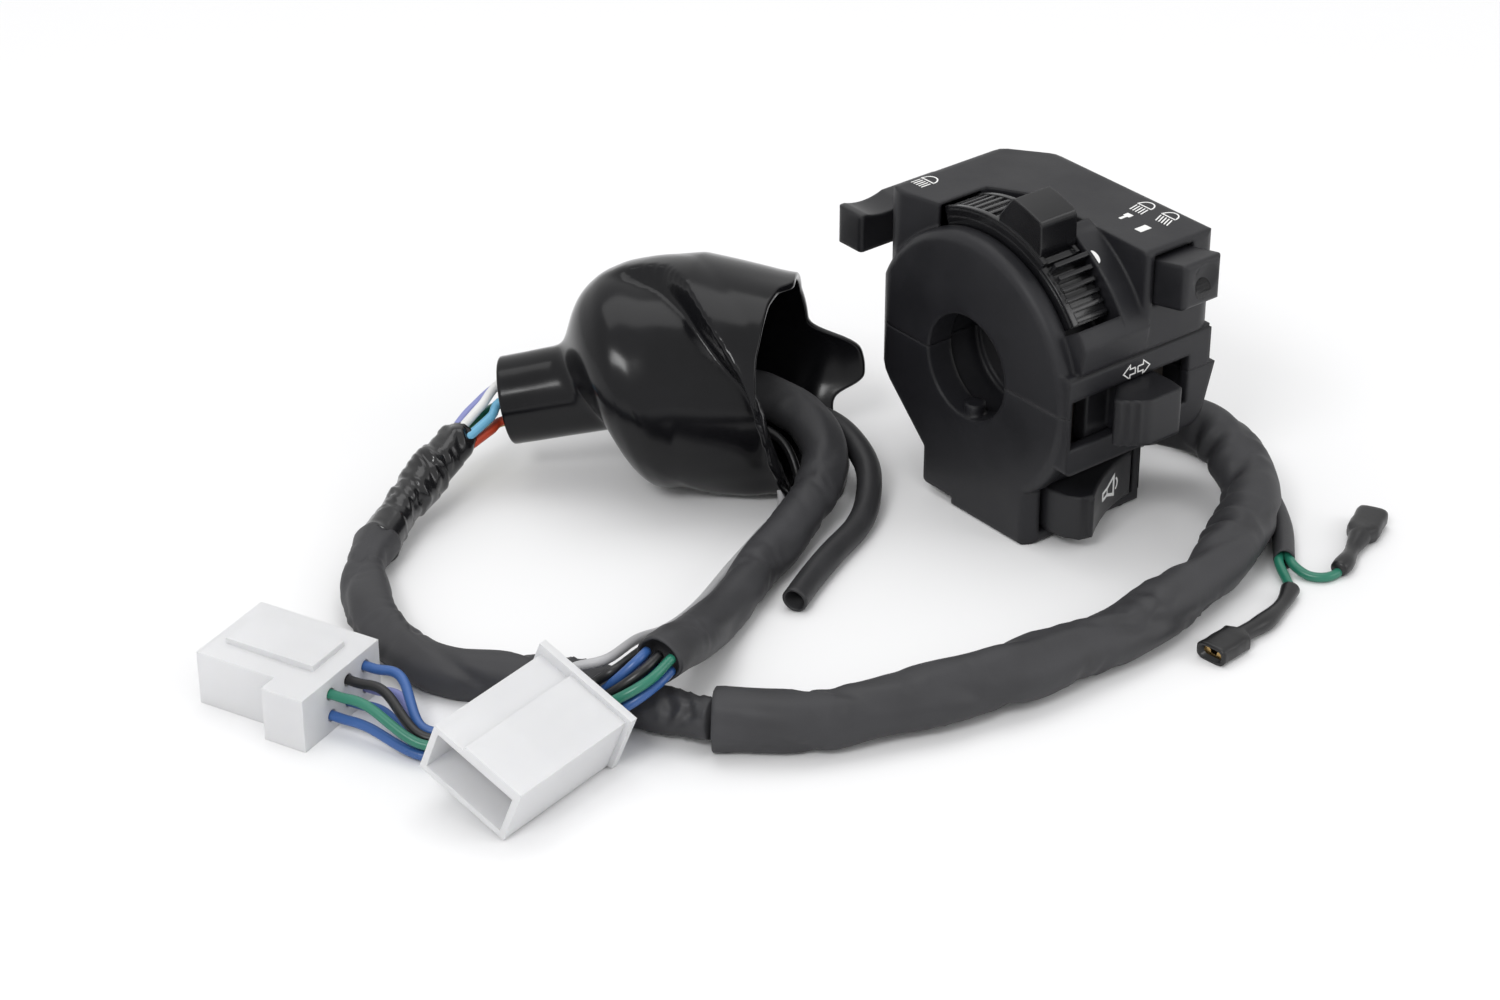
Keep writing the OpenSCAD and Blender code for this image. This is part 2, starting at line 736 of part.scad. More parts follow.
module dimmer_contact_block() {
  color(fibre)
    box([room_x0 + 0.1, dimmer_block_y0, dimmer_z0 - 2], [near_x - wall - 3, dimmer_block_y0 + 5,
      top_h - wall - 0.1]);
}

// Knob of the turn switch, with its ribbed thumb slope and the carrier behind the panel
module turn_knob() {
  front_y = -rider_d - knob_out;
  slope_y = front_y + 4.6;
  rib_n = 3;
  rib_w = 1;
  rib_h = 0.8;
  slope_w = 4.8;
  color(matte_black)
    difference() {
      union() {
        along_z(knob_z0, knob_z1)
          polygon(rounded([[knob_stem_x, carrier_y0], [knob_stem_x, -rider_d], [knob_x0, slope_y],
            [knob_x0 + slope_w, front_y + 0.6],
            [knob_x0 + slope_w + 1, front_y], [knob_x1 - 0.6, front_y], [knob_x1, front_y + 3.6],
              [knob_x1, carrier_y0]],
            [0, 1, 0.6, 0, 0, 0.8, 0.8, 0]));
        for (k = [0:rib_n - 1]) {
          x = knob_x0 + 0.6 + k * (slope_w - 0.4) / rib_n;
          y = slope_y + (x - knob_x0) / slope_w * (front_y + 0.6 - slope_y);
          box([x, y - rib_h, knob_z0], [x + rib_w, y + 1, knob_z1]);
        }
        box([knob_x0 - 1, carrier_y0, slot_z0 - turn_lip], [knob_x1 + 1, carrier_y1, slot_z1 + turn_lip]);
      }
      // Pocket of the detent
      translate([detent_x, carrier_y1 + cut, 0])
        rotate([90, 0, 0])
          cylinder(d = 3.4, h = 9 + cut);
    }
}

detent_d = 3;
module turn_detent_ball() {
  color(steel)
    translate([detent_x, carrier_y1 - detent_d / 2 + 0.05, 0])
      sphere(d = detent_d);
}

module turn_detent_spring() {
  spring_d = 2.8;
  color(steel)
    translate([detent_x, carrier_y1 - 8.9, 0])
      rotate([-90, 0, 0])
        spring(spring_d, 8.9 - detent_d, 5);
}

// Fixed plate that the turn switch's carrier slides on, with its contact rivets
module turn_base_plate() {
  rivet_d = 2.4;
  color(fibre)
    box([turn_room_x0 + 0.1, base_y0, turn_room_z0 + 0.1], [near_screw.x - boss_r - run_gap,
      base_y1, turn_room_z1 - 0.1]);
  color(brass)
    for (x = [-11, -6, 1])
      translate([x, base_y1, 0])
        rotate([-90, 0, 0])
          cylinder(d = rivet_d, h = 1);
}

// Screws that hold the contact plates
module base_screws() {
  d = 2;
  color(steel)
    for (x = [turn_room_x0 + 2.2, turn_room_x1 - 2.2])
      translate([x, base_y1, -6.5])
        rotate([-90, 0, 0]) {
          cylinder(d = 2 * d, h = 1.2);
        }
}

// Wedge of the horn button, seen from above
module horn_button() {
  nose = horn_x0 + 4.2;
  ramp = [for (k = [0:6])
    let (t = k / 6)
    [nose + 1.2 + t * (horn_x1 - nose - 2), horn_nose_y + (horn_out - 0.4) * (1.7 * t - 0.7 * t * t)]];
  plan = concat([[horn_x0, horn_back_y], [horn_x0 + 0.3, -horn_face_d - 1], [horn_x0 + 1,
    -horn_face_d - 5], [nose - 1.5, horn_nose_y + 0.7]],
    ramp, [[horn_x1, -horn_face_d + 0.2], [horn_x1, horn_pin.y], [horn_pin.x,
      horn_pin.y + horn_hub_r], [horn_pin.x - 4, horn_back_y]]);
  bead_r = 0.7;
  color(matte_black)
    difference() {
      union() {
        along_z(horn_z0, horn_z1) polygon(plan);
        translate([nose + 0.6, horn_nose_y + 0.2, horn_z0 + 0.6])
          cylinder(r = bead_r, h = horn_h - 1.2, $fn = 24);
      }
      translate([horn_pin.x, horn_pin.y, horn_z0 - cut])
        cylinder(r = pin_d / 2 + pin_gap, h = horn_h + 2 * cut);
    }
}

module horn_pin() {
  color(steel)
    translate([horn_pin.x, horn_pin.y, floor_z + 1])
      cylinder(d = pin_d, h = horn_z1 + 2.8 - floor_z - 1);
}

horn_spring_x = horn_x0 + 5;
horn_mid_z = (horn_z0 + horn_z1) / 2;
horn_block_y0 = horn_back_y + 5;
module horn_spring() {
  spring_d = 5;
  color(steel)
    translate([horn_spring_x, horn_back_y + 0.1, horn_mid_z])
      rotate([-90, 0, 0])
        spring(spring_d, horn_block_y0 - horn_back_y - 0.2, 4);
}

module horn_contact_block() {
  color(fibre)
    box([lower_room_x0 + 0.1, horn_block_y0, lower_room_z0 + 0.1], [horn_spring_x + 6,
      horn_block_y0 + 4, horn_z1 + 2]);
}

// Routes of the harness, chosen along the floor that the foot stands on
floor_gap = 0.1;
loom_z = floor_z + loom_d / 2 + floor_gap;
sleeve_z = floor_z + sleeve_d / 2 + floor_gap;
wire_z = floor_z + wire_d / 2 + floor_gap;
clutch_z = floor_z + clutch_d / 2 + floor_gap;
loom_start = outlet + grommet_flange * outlet_way;
main_route = [loom_start, loom_start + 2 * outlet_way, loom_start + 4 * outlet_way, [24.6, -21,
  -19.5], [25.6, -28, -21], [24, -34.5, -23], [20.5, -40, -25],
  [14.5, -45, -26.3], [5, -50.5, loom_z], [-8, -55.5, loom_z], [-23, -58.5, loom_z], [-37, -59,
    loom_z], [-49, -58, loom_z],
  [-60, -56.5, loom_z], [-70, -54.5, loom_z], [-80, -52, loom_z], [-89, -48.5, loom_z], [-97,
    -44.5, loom_z],
  [-104, -40, loom_z], [-110, -34.5, loom_z]];
rear_route = [[-110, -34.5, loom_z], [-113.5, -26, sleeve_z + 0.3], [-116.5, -16, sleeve_z], [-122,
  -7, sleeve_z],
  [-130, 1.5, sleeve_z], [-136.5, 9.5, sleeve_z], [-139, 20, sleeve_z], [-138, 31, sleeve_z],
    [-134.5, 41, sleeve_z],
  [-129, 49.5, sleeve_z], [-122, 56, sleeve_z]];
tape_route = [[-122, 56, sleeve_z], [-113, 61.5, -26.5], [-104, 65.5, -24], [-95.5, 68, -21], [-87,
  70, -18.5]];

// Boot, which lies on its bulb
boot_mid = [-51, 46, floor_z + boot_d / 2];
boot_turn = -50;
boot_way = [cos(boot_turn), sin(boot_turn), 0];
neck_end = [-80, 71, -17];
neck_way = unit(boot_mid - neck_end);

// Sleeve out of the boot's mouth, which climbs over the rear loom before it ends
mouth_route = [[-46, 43, -14], [-41, 36, -14.5], [-37.5, 28, -17], [-39, 20, -21.5], [-46.5, 14,
  -25.5], [-57, 9, -27.5],
  [-68, 3.5, sleeve_z], [-79, -2.5, sleeve_z], [-90, -9, -26.5], [-100.5, -16, -23], [-109, -21.5,
    -18.8], [-114, -23.8, -18]];
thin_z = floor_z + thin_d / 2 + floor_gap;
thin_route = [[-36.5, 42, -19], [-32.5, 34, -20], [-29.5, 26, -22], [-30.5, 17, -25.5], [-36, 10,
  -28.5], [-43, 5, thin_z],
  [-53, 0.5, thin_z], [-62, -4, thin_z], [-70, -8.5, thin_z]];

// Two wires of the three-way connector, beside the sleeve and over the rear loom
lamp_z = wire_z + floor_gap;
lamp_routes = [
  [[-51, 39, -16], [-46, 33, -18], [-43, 28, -21], [-43.5, 23, -26], [-47.5, 18.8, -29.3], [-56,
    14.2, lamp_z],
    [-68, 8.3, lamp_z], [-82, 1, lamp_z], [-96, -6.2, -28.5], [-109, -13.2, -22.6], [-120, -19.3, -19.4]],
  [[-53, 36, -19], [-48, 30, -22.5], [-46.8, 24.8, -27], [-49.8, 20.5, -30.8], [-58, 16.8, lamp_z],
    [-70, 10.9, lamp_z], [-84, 3.7, lamp_z], [-97, -3.5, -28], [-109, -10.3, -22.2], [-120, -16, -19.2]]];

// Six wires of the six-way connector: middle of the bundle, and the way across it
signal_middle = [[-118, -25, -18.6], [-122.5, -23.6, -21.6], [-125, -18.6, -26.4], [-129.5, -13,
  -29.8], [-138, -11.2, -29.9],
  [-146, -9.4, -29.9], [-152.5, -3.5, -29.8]];
signal_across = [[0.2, -1, 0], [-0.4, -0.9, 0], [-0.8, -0.6, 0], [-0.7, -0.7, 0], [-0.3, -1, 0],
  [-0.5, -0.9, 0], [-0.9, -0.5, 0]];

// Route of the clutch-switch branch, its two wires and their covers
clutch_hole = [x_far, 4, -25];
clutch_route = [clutch_hole, [22.5, 4, -25], [25, 4, -25], [31, -1, -28], [34, -12, clutch_z],
  [33.5, -24, clutch_z], [29.5, -36, clutch_z],
  [22.5, -47, clutch_z], [14, -56, clutch_z]];
clutch_wire_routes = [
  [[14.8, -56.7, clutch_z], [14.2, -59.2, -30.8], [14.8, -62, wire_z], [16.8, -64.3, wire_z], [20,
    -64.6, wire_z]],
  [[13.2, -55.3, clutch_z], [11.6, -57.6, -30.8], [10, -60.8, wire_z], [8, -63.6, wire_z]]];
cover_wire_d = 3.2;
cover_z = floor_z + cover_wire_d / 2 + floor_gap;
cover_routes = [
  [[20, -64.6, wire_z + 0.6], [23.5, -63.4, cover_z], [28, -61, cover_z], [32.5, -58.8, cover_z + 0.3]],
  [[8, -63.6, wire_z + 0.6], [3, -66.4, cover_z], [-4, -68.8, cover_z], [-12, -69.8, cover_z + 0.3]]];
cover_turns = [27, 186];

module loom_grommet() {
  lip = 1.2;
  color(gloss_black)
    translate(outlet)
      rotate([0, 90, outlet_turn])
        difference() {
          union() {
            cylinder(d = grommet_d + 2 * lip, h = grommet_flange);
            translate([0, 0, -wall]) cylinder(d = grommet_d - 0.1, h = wall + 0.1);
          }
          translate([0, 0, -wall - cut]) cylinder(d = grommet_d - 4, h = wall + 2 * cut);
        }
}

loom_steps = 2;
module main_loom() {
  color(sleeve_grey) tube(curve(main_route, loom_steps), loom_d / 2, 12);
}

module rear_loom() {
  color(sleeve_grey) tube(curve(rear_route, loom_steps), sleeve_d / 2, 12);
}

module taped_loom() {
  color(gloss_black) tube(curve(tape_route, loom_steps), tape_d / 2, 12);
}

// Wires that run from the tape through the boot's neck to the sleeve in its mouth
wire_colours = ["#e8e8ea", "#27406f", "#2f8f6a", "#6fb7d8", "#d9542e", "#c9c93a"];
function across(w) = unit([-w.y, w.x, 0]);
function spoke(w, a) = cos(a) * across(w) + sin(a) * [0, 0, 1];
module neck_wires() {
  tape_end = tape_route[len(tape_route) - 1];
  tape_way = unit(tape_end - tape_route[len(tape_route) - 2]);
  sleeve_way = unit(mouth_route[1] - mouth_route[0]);
  wide = neck_d / 2 - boot_wall - wire_d / 2 - 2 * run_gap;
  tight = 3;
  neck_l = 14;
  for (i = [0:5])
    let (a = 60 * i + 30)
      color(wire_colours[i])
        tube(curve([tape_end + tight * spoke(tape_way, a), neck_end + wide * spoke(neck_way, a),
          neck_end + neck_l * neck_way + wide * spoke(neck_way, a),
          mouth_route[0] - 10 * sleeve_way + tight * spoke(sleeve_way, a),
          mouth_route[0] + tight * spoke(sleeve_way, a)], 2), wire_d / 2, 8);
}

// Rubber boot: neck, bulb and scalloped mouth
module boot() {
  r = boot_d / 2;
  mouth = 17;
  lobe = 12;
  flare = 1.5;
  color(gloss_black)
    difference() {
      union() {
        translate(neck_end) aim(neck_way) cylinder(d = neck_d, h = norm(boot_mid - neck_end));
        translate(boot_mid) aim(boot_way) bell(r, mouth + lobe, flare);
      }
      translate(neck_end) aim(neck_way)
        translate([0, 0, -cut]) cylinder(d = neck_d - 2 * boot_wall, h = norm(boot_mid - neck_end) + cut);
      translate(boot_mid) aim(boot_way) bell(r - boot_wall, mouth + lobe + cut, flare);
      // Scallops in the far rim and the cut-back near rim
      translate(boot_mid) aim(boot_way) {
        for (a = [-65, -15, 40])
          rotate([0, 0, a])
            translate([0, r - 2, mouth + lobe + 1])
              rotate([90, 0, 0])
                cylinder(r = 7, h = r, center = true);
        rotate([0, 0, 180])
          translate([0, 0, mouth]) translate([-r - 4, 0, 0]) cube([2 * r + 8, r + 6, lobe + 4]);
      }
    }
}

// Stand Z along a direction, with X level
module aim(w) {
  rotate([0, acos(w.z), atan2(w.y, w.x)])
    children();
}

// Round bulb that runs on as a slightly drawn-in skirt
module bell(r, length, flare) {
  sphere(r = r);
  cylinder(r1 = r, r2 = r - flare, h = length);
}

module boot_sleeve() {
  color(sleeve_grey) tube(curve(mouth_route, loom_steps), sleeve_d / 2, 12);
}

module thin_sleeve() {
  color(sleeve_grey) tube(curve(thin_route, loom_steps), thin_d / 2, 10);
}

// Six-way connector, its wires leave at its near end
six_mid = [-160.5, 27];
six_heading = -68.4;
six_l = 26.4;
six_w = 19.8;
six_h = 11;
hood_wall = 1.3;
hood_depth = 12;
// Terminals stop short of the rear face, where the wires come in to meet them
pin_hole_d = 2.4;
terminal_inset = 4;
module at_six() {
  translate([six_mid.x, six_mid.y, floor_z])
    rotate([0, 0, six_heading])
      children();
}

// Places of the six wires in the connector's rear face
six_pitch = 5.4;
six_rows = 4.6;
six_places = [for (i = [-1, 0, 1]) for (j = [-1, 1]) [six_l / 2, i * six_pitch,
  six_h / 2 + j * six_rows / 2]];

module connector_six_way() {
  collar_l = 9;
  collar = 1.2;
  color(milky)
    at_six()
      difference() {
        union() {
          box([-six_l / 2, -six_w / 2, 0], [six_l / 2, six_w / 2, six_h]);
          // Latch block on the near side
          box([six_l / 2 - collar_l, -six_w / 2 - 4, 0], [six_l / 2, -six_w / 2 + cut, six_h]);
          box([-six_l / 2 + 3, -six_w / 2 + 5, six_h - cut], [six_l / 2 - 4, six_w / 2 - 5,
            six_h + collar]);
        }
        box([-six_l / 2 - cut, -six_w / 2 + hood_wall, hood_wall], [-six_l / 2 + hood_depth,
          six_w / 2 - hood_wall, six_h - hood_wall]);
        for (p = six_places)
          translate([-six_l / 2, p.y, p.z])
            rotate([0, 90, 0])
              cylinder(d = pin_hole_d, h = six_l + cut, $fn = 24);
      }
}

module six_way_terminals() {
  color(brass)
    at_six()
      for (p = six_places)
        translate([hood_depth - six_l / 2, p.y, p.z])
          rotate([0, 90, 0])
            cylinder(d = pin_hole_d - 0.1, h = six_l - hood_depth - terminal_inset, $fn = 24);
}

// Three-way connector, which leans on the wires behind it
three_mid = [-143.4, -26.4, -17.1];
three_heading = 14;
three_lean = 22;
three_l = 30;
three_w = 20.4;
three_h = 12;
module at_three() {
  translate(three_mid)
    rotate([0, 0, three_heading])
      rotate([three_lean, 0, 0])
        children();
}

three_pitch = 4.5;
three_places = [for (i = [0, 1, -1]) [three_l / 2, 2 + i * three_pitch, -three_h / 2]];
module connector_three_way() {
  flange = 1;
  color(milky)
    at_three()
      difference() {
        union() {
          box([-three_l / 2, -three_w / 2, -three_h], [three_l / 2, three_w / 2, -1]);
          box([-three_l / 2, -three_w / 2, -three_h], [three_l / 2, three_w / 2 - 7, 0]);
          box([three_l / 2 - 1.6, -three_w / 2 - flange, -three_h], [three_l / 2,
            three_w / 2 + flange, flange]);
        }
        box([-three_l / 2 - cut, -three_w / 2 + hood_wall, -three_h + hood_wall],
          [-three_l / 2 + hood_depth, three_w / 2 - hood_wall, -1 - hood_wall]);
        for (p = three_places)
          translate([-three_l / 2, p.y, p.z])
            rotate([0, 90, 0])
              cylinder(d = pin_hole_d, h = three_l + cut, $fn = 24);
      }
}

module three_way_terminals() {
  color(brass)
    at_three()
      for (p = three_places)
        translate([hood_depth - three_l / 2, p.y, p.z])
          rotate([0, 90, 0])
            cylinder(d = pin_hole_d - 0.1, h = three_l - hood_depth - terminal_inset, $fn = 24);
}

// A point given in a connector's own directions, turned into the frame of the part
function turn_z(p, a) = [p.x * cos(a) - p.y * sin(a), p.x * sin(a) + p.y * cos(a), p.z];
function turn_x(p, a) = [p.x, p.y * cos(a) - p.z * sin(a), p.y * sin(a) + p.z * cos(a)];
function from_six(p) = turn_z(p, six_heading) + [six_mid.x, six_mid.y, floor_z];
function from_three(p) = turn_z(turn_x(p, three_lean), three_heading) + three_mid;

// Six wires from the end of the sleeve, as a bundle of two layers, to the connector
signal_colours = [wire_blue, wire_green, wire_blue, "#1c1c1e", "#8d8fb8", wire_blue];
module signal_wires() {
  pitch = wire_d + 0.6;
  sleeve_end = mouth_route[len(mouth_route) - 1];
  sleeve_way = unit(sleeve_end - mouth_route[len(mouth_route) - 2]);
  for (i = [0:5])
    let (column = floor(i / 2) - 1, layer = i % 2 - 0.5, p = six_places[i])
      color(signal_colours[i])
        tube(curve(concat(
          [sleeve_end - pitch * column * across(sleeve_way) + pitch * layer * [0, 0, 1]],
          [for (k = [0:len(signal_middle) - 1])
            let (w = way(signal_middle, k), s = unit(signal_across[k] - (signal_across[k] * w) * w))
            signal_middle[k] - pitch * column * s + pitch * layer * cross(w, s)],
          [from_six(p + [8, 0, 0]), from_six(p + [2, 0, 0]), from_six(p - [terminal_inset, 0,
            0])]), 2), wire_d / 2, 8);
}

module lamp_wires() {
  colours = ["#1c1c1e", "#9a9a9e"];
  for (i = [0, 1])
    let (p = three_places[i])
      color(colours[i])
        tube(curve(concat(lamp_routes[i], [from_three(p + [6, 0, 0]), from_three(p + [2, 0, 0]),
          from_three(p - [terminal_inset, 0, 0])]), 2), wire_d / 2, 8);
}

module clutch_sleeve() {
  color(sleeve_grey) tube(curve(clutch_route, 2), clutch_d / 2, 10);
}

module clutch_wires() {
  color(wire_green)
    for (r = clutch_wire_routes)
      tube(curve(r, 2), wire_d / 2, 8);
}

// Soft covers: a narrow stretch over the crimp and a flat pocket over the receptacle
cover_l = 9;
cover_w = 6.4;
cover_h = 3.8;
cover_wall = 0.8;
module at_cover(i) {
  p = cover_routes[i][len(cover_routes[i]) - 1];
  translate([p.x, p.y, floor_z])
    rotate([0, 0, cover_turns[i]])
      children();
}

module clutch_terminal_covers() {
  color(gloss_black)
    for (i = [0, 1]) {
      tube(curve(cover_routes[i], 2), cover_wire_d / 2, 8);
      at_cover(i)
        difference() {
          along_x(-1.5, cover_l)
            polygon(rounded([[-cover_w / 2, 0], [cover_w / 2, 0], [cover_w / 2, cover_h],
              [-cover_w / 2, cover_h]], [1, 1, 1.6, 1.6]));
          box([1.5, cover_wall - cover_w / 2, cover_wall], [cover_l + cut,
            cover_w / 2 - cover_wall, cover_h - cover_wall]);
        }
    }
}

// Receptacles with rolled edges, inside the covers
module clutch_terminals() {
  tongue_t = 0.6;
  roll_d = 1.6;
  inset = cover_w / 2 - cover_wall - roll_d / 2 - 0.1;
  color(brass)
    for (i = [0, 1])
      at_cover(i) {
        box([2, -inset, cover_wall + 0.1], [cover_l - 1, inset, cover_wall + 0.1 + tongue_t]);
        for (s = [-1, 1])
          translate([2, s * inset, cover_wall + 0.1 + roll_d / 2])
            rotate([0, 90, 0])
              cylinder(d = roll_d, h = cover_l - 3, $fn = 24);
      }
}

upper_housing();
lower_housing();
housing_screws();
choke_lever();
choke_leaf_spring();
pass_trigger();
pass_pin();
pass_spring();
pass_contact_block();
dimmer_button();
dimmer_spring();
dimmer_contact_block();
turn_knob();
turn_base_plate();
turn_detent_ball();
turn_detent_spring();
horn_button();
horn_pin();
horn_spring();
horn_contact_block();
base_screws();
loom_grommet();
main_loom();
rear_loom();
taped_loom();
neck_wires();
boot();
boot_sleeve();
thin_sleeve();
signal_wires();
lamp_wires();
connector_six_way();
connector_three_way();
six_way_terminals();
three_way_terminals();
clutch_sleeve();
clutch_wires();
clutch_terminal_covers();
clutch_terminals();
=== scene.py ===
"""Looks of the handlebar switch cluster and its harness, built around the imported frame."""

import math

import bmesh
import bpy
from mathutils import Matrix, Vector, noise
from mathutils.bvhtree import BVHTree


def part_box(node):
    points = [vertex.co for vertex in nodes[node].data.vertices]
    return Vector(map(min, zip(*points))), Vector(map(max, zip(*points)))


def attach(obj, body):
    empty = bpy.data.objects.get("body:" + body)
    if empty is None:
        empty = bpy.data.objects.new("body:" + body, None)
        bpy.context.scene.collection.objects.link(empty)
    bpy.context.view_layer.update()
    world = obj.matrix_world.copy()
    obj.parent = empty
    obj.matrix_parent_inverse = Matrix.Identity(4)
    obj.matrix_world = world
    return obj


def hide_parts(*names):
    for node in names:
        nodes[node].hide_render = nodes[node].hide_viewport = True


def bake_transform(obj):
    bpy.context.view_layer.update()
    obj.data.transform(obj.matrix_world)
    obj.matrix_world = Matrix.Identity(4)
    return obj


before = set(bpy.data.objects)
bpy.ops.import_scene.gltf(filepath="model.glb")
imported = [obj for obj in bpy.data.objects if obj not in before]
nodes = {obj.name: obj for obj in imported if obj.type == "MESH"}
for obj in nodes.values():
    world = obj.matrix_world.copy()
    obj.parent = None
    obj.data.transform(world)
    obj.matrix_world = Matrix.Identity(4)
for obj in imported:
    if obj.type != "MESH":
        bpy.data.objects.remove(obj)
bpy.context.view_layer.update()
MM = 0.001
FLOOR, LIFT = -32.5, 0.02
scene = bpy.context.scene
scene.view_settings.view_transform = "Standard"


def mm(p):
    """A point in millimetres as a vector in metres."""
    return Vector(p) * MM


# Camera at the photograph's angle
CAMERA_AT = (-439.73, -454.77, 330.84)
CAMERA_RIGHT = (0.77934, -0.62660, 0)
CAMERA_UP = (0.31614, 0.39320, 0.86340)
CAMERA_BACK = (-0.54101, -0.67288, 0.50453)
SENSOR_WIDTH, LENS, CLIP = 36, 86.016, (0.05, 20)
camera = bpy.data.objects.new("camera", bpy.data.cameras.new("camera"))
camera.data.sensor_width = SENSOR_WIDTH
camera.data.lens = LENS
camera.data.clip_start, camera.data.clip_end = CLIP
turn = Matrix((CAMERA_RIGHT, CAMERA_UP, CAMERA_BACK)).transposed().to_4x4()
camera.matrix_world = Matrix.Translation(mm(CAMERA_AT)) @ turn
scene.collection.objects.link(camera)
scene.camera = camera

# Materials: broad noise per metre, the part of it that is used, strength of the grain and limits of the finish
BROAD_SCALE, BROAD_DETAIL, FINE_DETAIL, USED = 90, 4, 3, (0.3, 0.7)
GRAIN_STRENGTH, SMOOTHEST, COAT_ROUGH, EDGE_SAMPLES = 0.6, 0.02, 0.12, 6


def socket(node, name, value):
    """Set a constant on a node's own socket."""
    node.inputs[name].default_value = value


def plastic(name, colour, rough, grain=0.4, bump=0.02, vary=0.12, coat=0.0, spec=0.5, rough_vary=0.08, edge=0.0):
    """Moulded plastic, rubber or vinyl with uneven colour and gloss; grain, bump and soft edge in millimetres."""
    made = bpy.data.materials.new(name)
    made.use_nodes = True
    tree = made.node_tree
    link = tree.links.new
    shader = tree.nodes["Principled BSDF"]
    socket(shader, "Specular IOR Level", spec)
    socket(shader, "Coat Weight", coat)
    socket(shader, "Coat Roughness", COAT_ROUGH)
    place = tree.nodes.new("ShaderNodeTexCoord")
    broad = tree.nodes.new("ShaderNodeTexNoise")
    socket(broad, "Scale", BROAD_SCALE)
    socket(broad, "Detail", BROAD_DETAIL)
    fine = tree.nodes.new("ShaderNodeTexNoise")
    socket(fine, "Scale", 1 / MM / grain)
    socket(fine, "Detail", FINE_DETAIL)
    link(place.outputs["Object"], broad.inputs["Vector"])
    link(place.outputs["Object"], fine.inputs["Vector"])
    tint = tree.nodes.new("ShaderNodeValToRGB")
    for end, position, share in zip(tint.color_ramp.elements, USED, (1 - vary, 1 + vary)):
        end.position = position
        end.color = [min(1, c * share) for c in colour] + [1]
    link(broad.outputs["Fac"], tint.inputs["Fac"])
    link(tint.outputs["Color"], shader.inputs["Base Color"])
    gloss = tree.nodes.new("ShaderNodeMapRange")
    socket(gloss, "From Min", USED[0])
    socket(gloss, "From Max", USED[1])
    socket(gloss, "To Min", max(SMOOTHEST, rough - rough_vary))
    socket(gloss, "To Max", min(1, rough + rough_vary))
    link(broad.outputs["Fac"], gloss.inputs["Value"])
    link(gloss.outputs["Result"], shader.inputs["Roughness"])
    ridge = tree.nodes.new("ShaderNodeBump")
    socket(ridge, "Strength", GRAIN_STRENGTH)
    socket(ridge, "Distance", bump * MM)
    link(fine.outputs["Fac"], ridge.inputs["Height"])
    if edge:
        soft = tree.nodes.new("ShaderNodeBevel")
        soft.samples = EDGE_SAMPLES
        socket(soft, "Radius", edge * MM)
        link(soft.outputs["Normal"], ridge.inputs["Normal"])
    link(ridge.outputs["Normal"], shader.inputs["Normal"])
    return made


def metal(name, colour, rough, grain=0.3):
    """Brass or steel with fine drawn marks."""
    made = plastic(name, colour, rough, grain, bump=0.006, vary=0.1, rough_vary=0.07)
    socket(made.node_tree.nodes["Principled BSDF"], "Metallic", 1.0)
    return made


def milky(name):
    """Natural nylon: pale, slightly see-through, with a cloudy body."""
    made = plastic(name, (0.80, 0.803, 0.815), 0.4, grain=0.8, bump=0.004, vary=0.012, spec=0.4, rough_vary=0.015)
    shader = made.node_tree.nodes["Principled BSDF"]
    socket(shader, "Transmission Weight", 0.25)
    socket(shader, "IOR", 1.35)
    socket(shader, "Subsurface Weight", 0.3)
    socket(shader, "Subsurface Radius", (0.002, 0.002, 0.0022))
    socket(shader, "Subsurface Scale", 1.0)
    return made


housing_black = plastic("housing_black", (0.0125, 0.0125, 0.0150), 0.44, grain=0.35, bump=0.03, spec=0.36, edge=1.2)
gloss_black = plastic("gloss_black", (0.006, 0.006, 0.007), 0.17, grain=0.6, bump=0.005, vary=0.2, coat=0.2, spec=0.4,
                      rough_vary=0.05, edge=0.5)
knob_black = plastic("knob_black", (0.011, 0.011, 0.0130), 0.38, vary=0.15, spec=0.4, edge=1.2)
rubber_black = plastic("rubber_black", (0.005, 0.005, 0.006), 0.19, grain=1.5, bump=0.008, vary=0.25, coat=0.06,
                       spec=0.24, rough_vary=0.04)
sleeve_grey = plastic("sleeve_grey", (0.034, 0.034, 0.037), 0.56, grain=0.7, bump=0.05, vary=0.2, spec=0.4)
thin_grey = plastic("thin_grey", (0.024, 0.024, 0.026), 0.5, grain=0.7, bump=0.04, vary=0.16, spec=0.4)
tape_black = plastic("tape_black", (0.009, 0.009, 0.010), 0.24, grain=1.0, bump=0.03, vary=0.2, coat=0.2, spec=0.45)
cover_black = plastic("cover_black", (0.011, 0.011, 0.012), 0.36, grain=0.8, bump=0.03, vary=0.2, spec=0.45)
print_white = plastic("print_white", (0.84, 0.84, 0.83), 0.5, grain=0.3, bump=0.01, vary=0.04)
nylon = milky("nylon")
brass = metal("brass", (0.58, 0.38, 0.15), 0.28)
steel = metal("steel", (0.50, 0.51, 0.53), 0.32)
fibre = plastic("fibre", (0.022, 0.017, 0.013), 0.6, grain=0.5, bump=0.03, vary=0.25)
WIRE_COLOURS = {
    "blue": (0.032, 0.100, 0.30),
    "light_blue": (0.15, 0.42, 0.62),
    "green": (0.02, 0.17, 0.11),
    "black": (0.010, 0.010, 0.011),
    "grey": (0.42, 0.42, 0.43),
    "white": (0.72, 0.72, 0.71),
    "red": (0.50, 0.06, 0.025),
    "yellow": (0.52, 0.50, 0.05),
    "violet": (0.22, 0.24, 0.50),
}
wire_paint = {k: plastic("wire_" + k, v, 0.34, grain=0.5, bump=0.01, vary=0.08) for k, v in WIRE_COLOURS.items()}


# Lines, skins and meshes, in millimetres

def unit(v):
    """The direction of a vector."""
    return Vector(v).normalized()


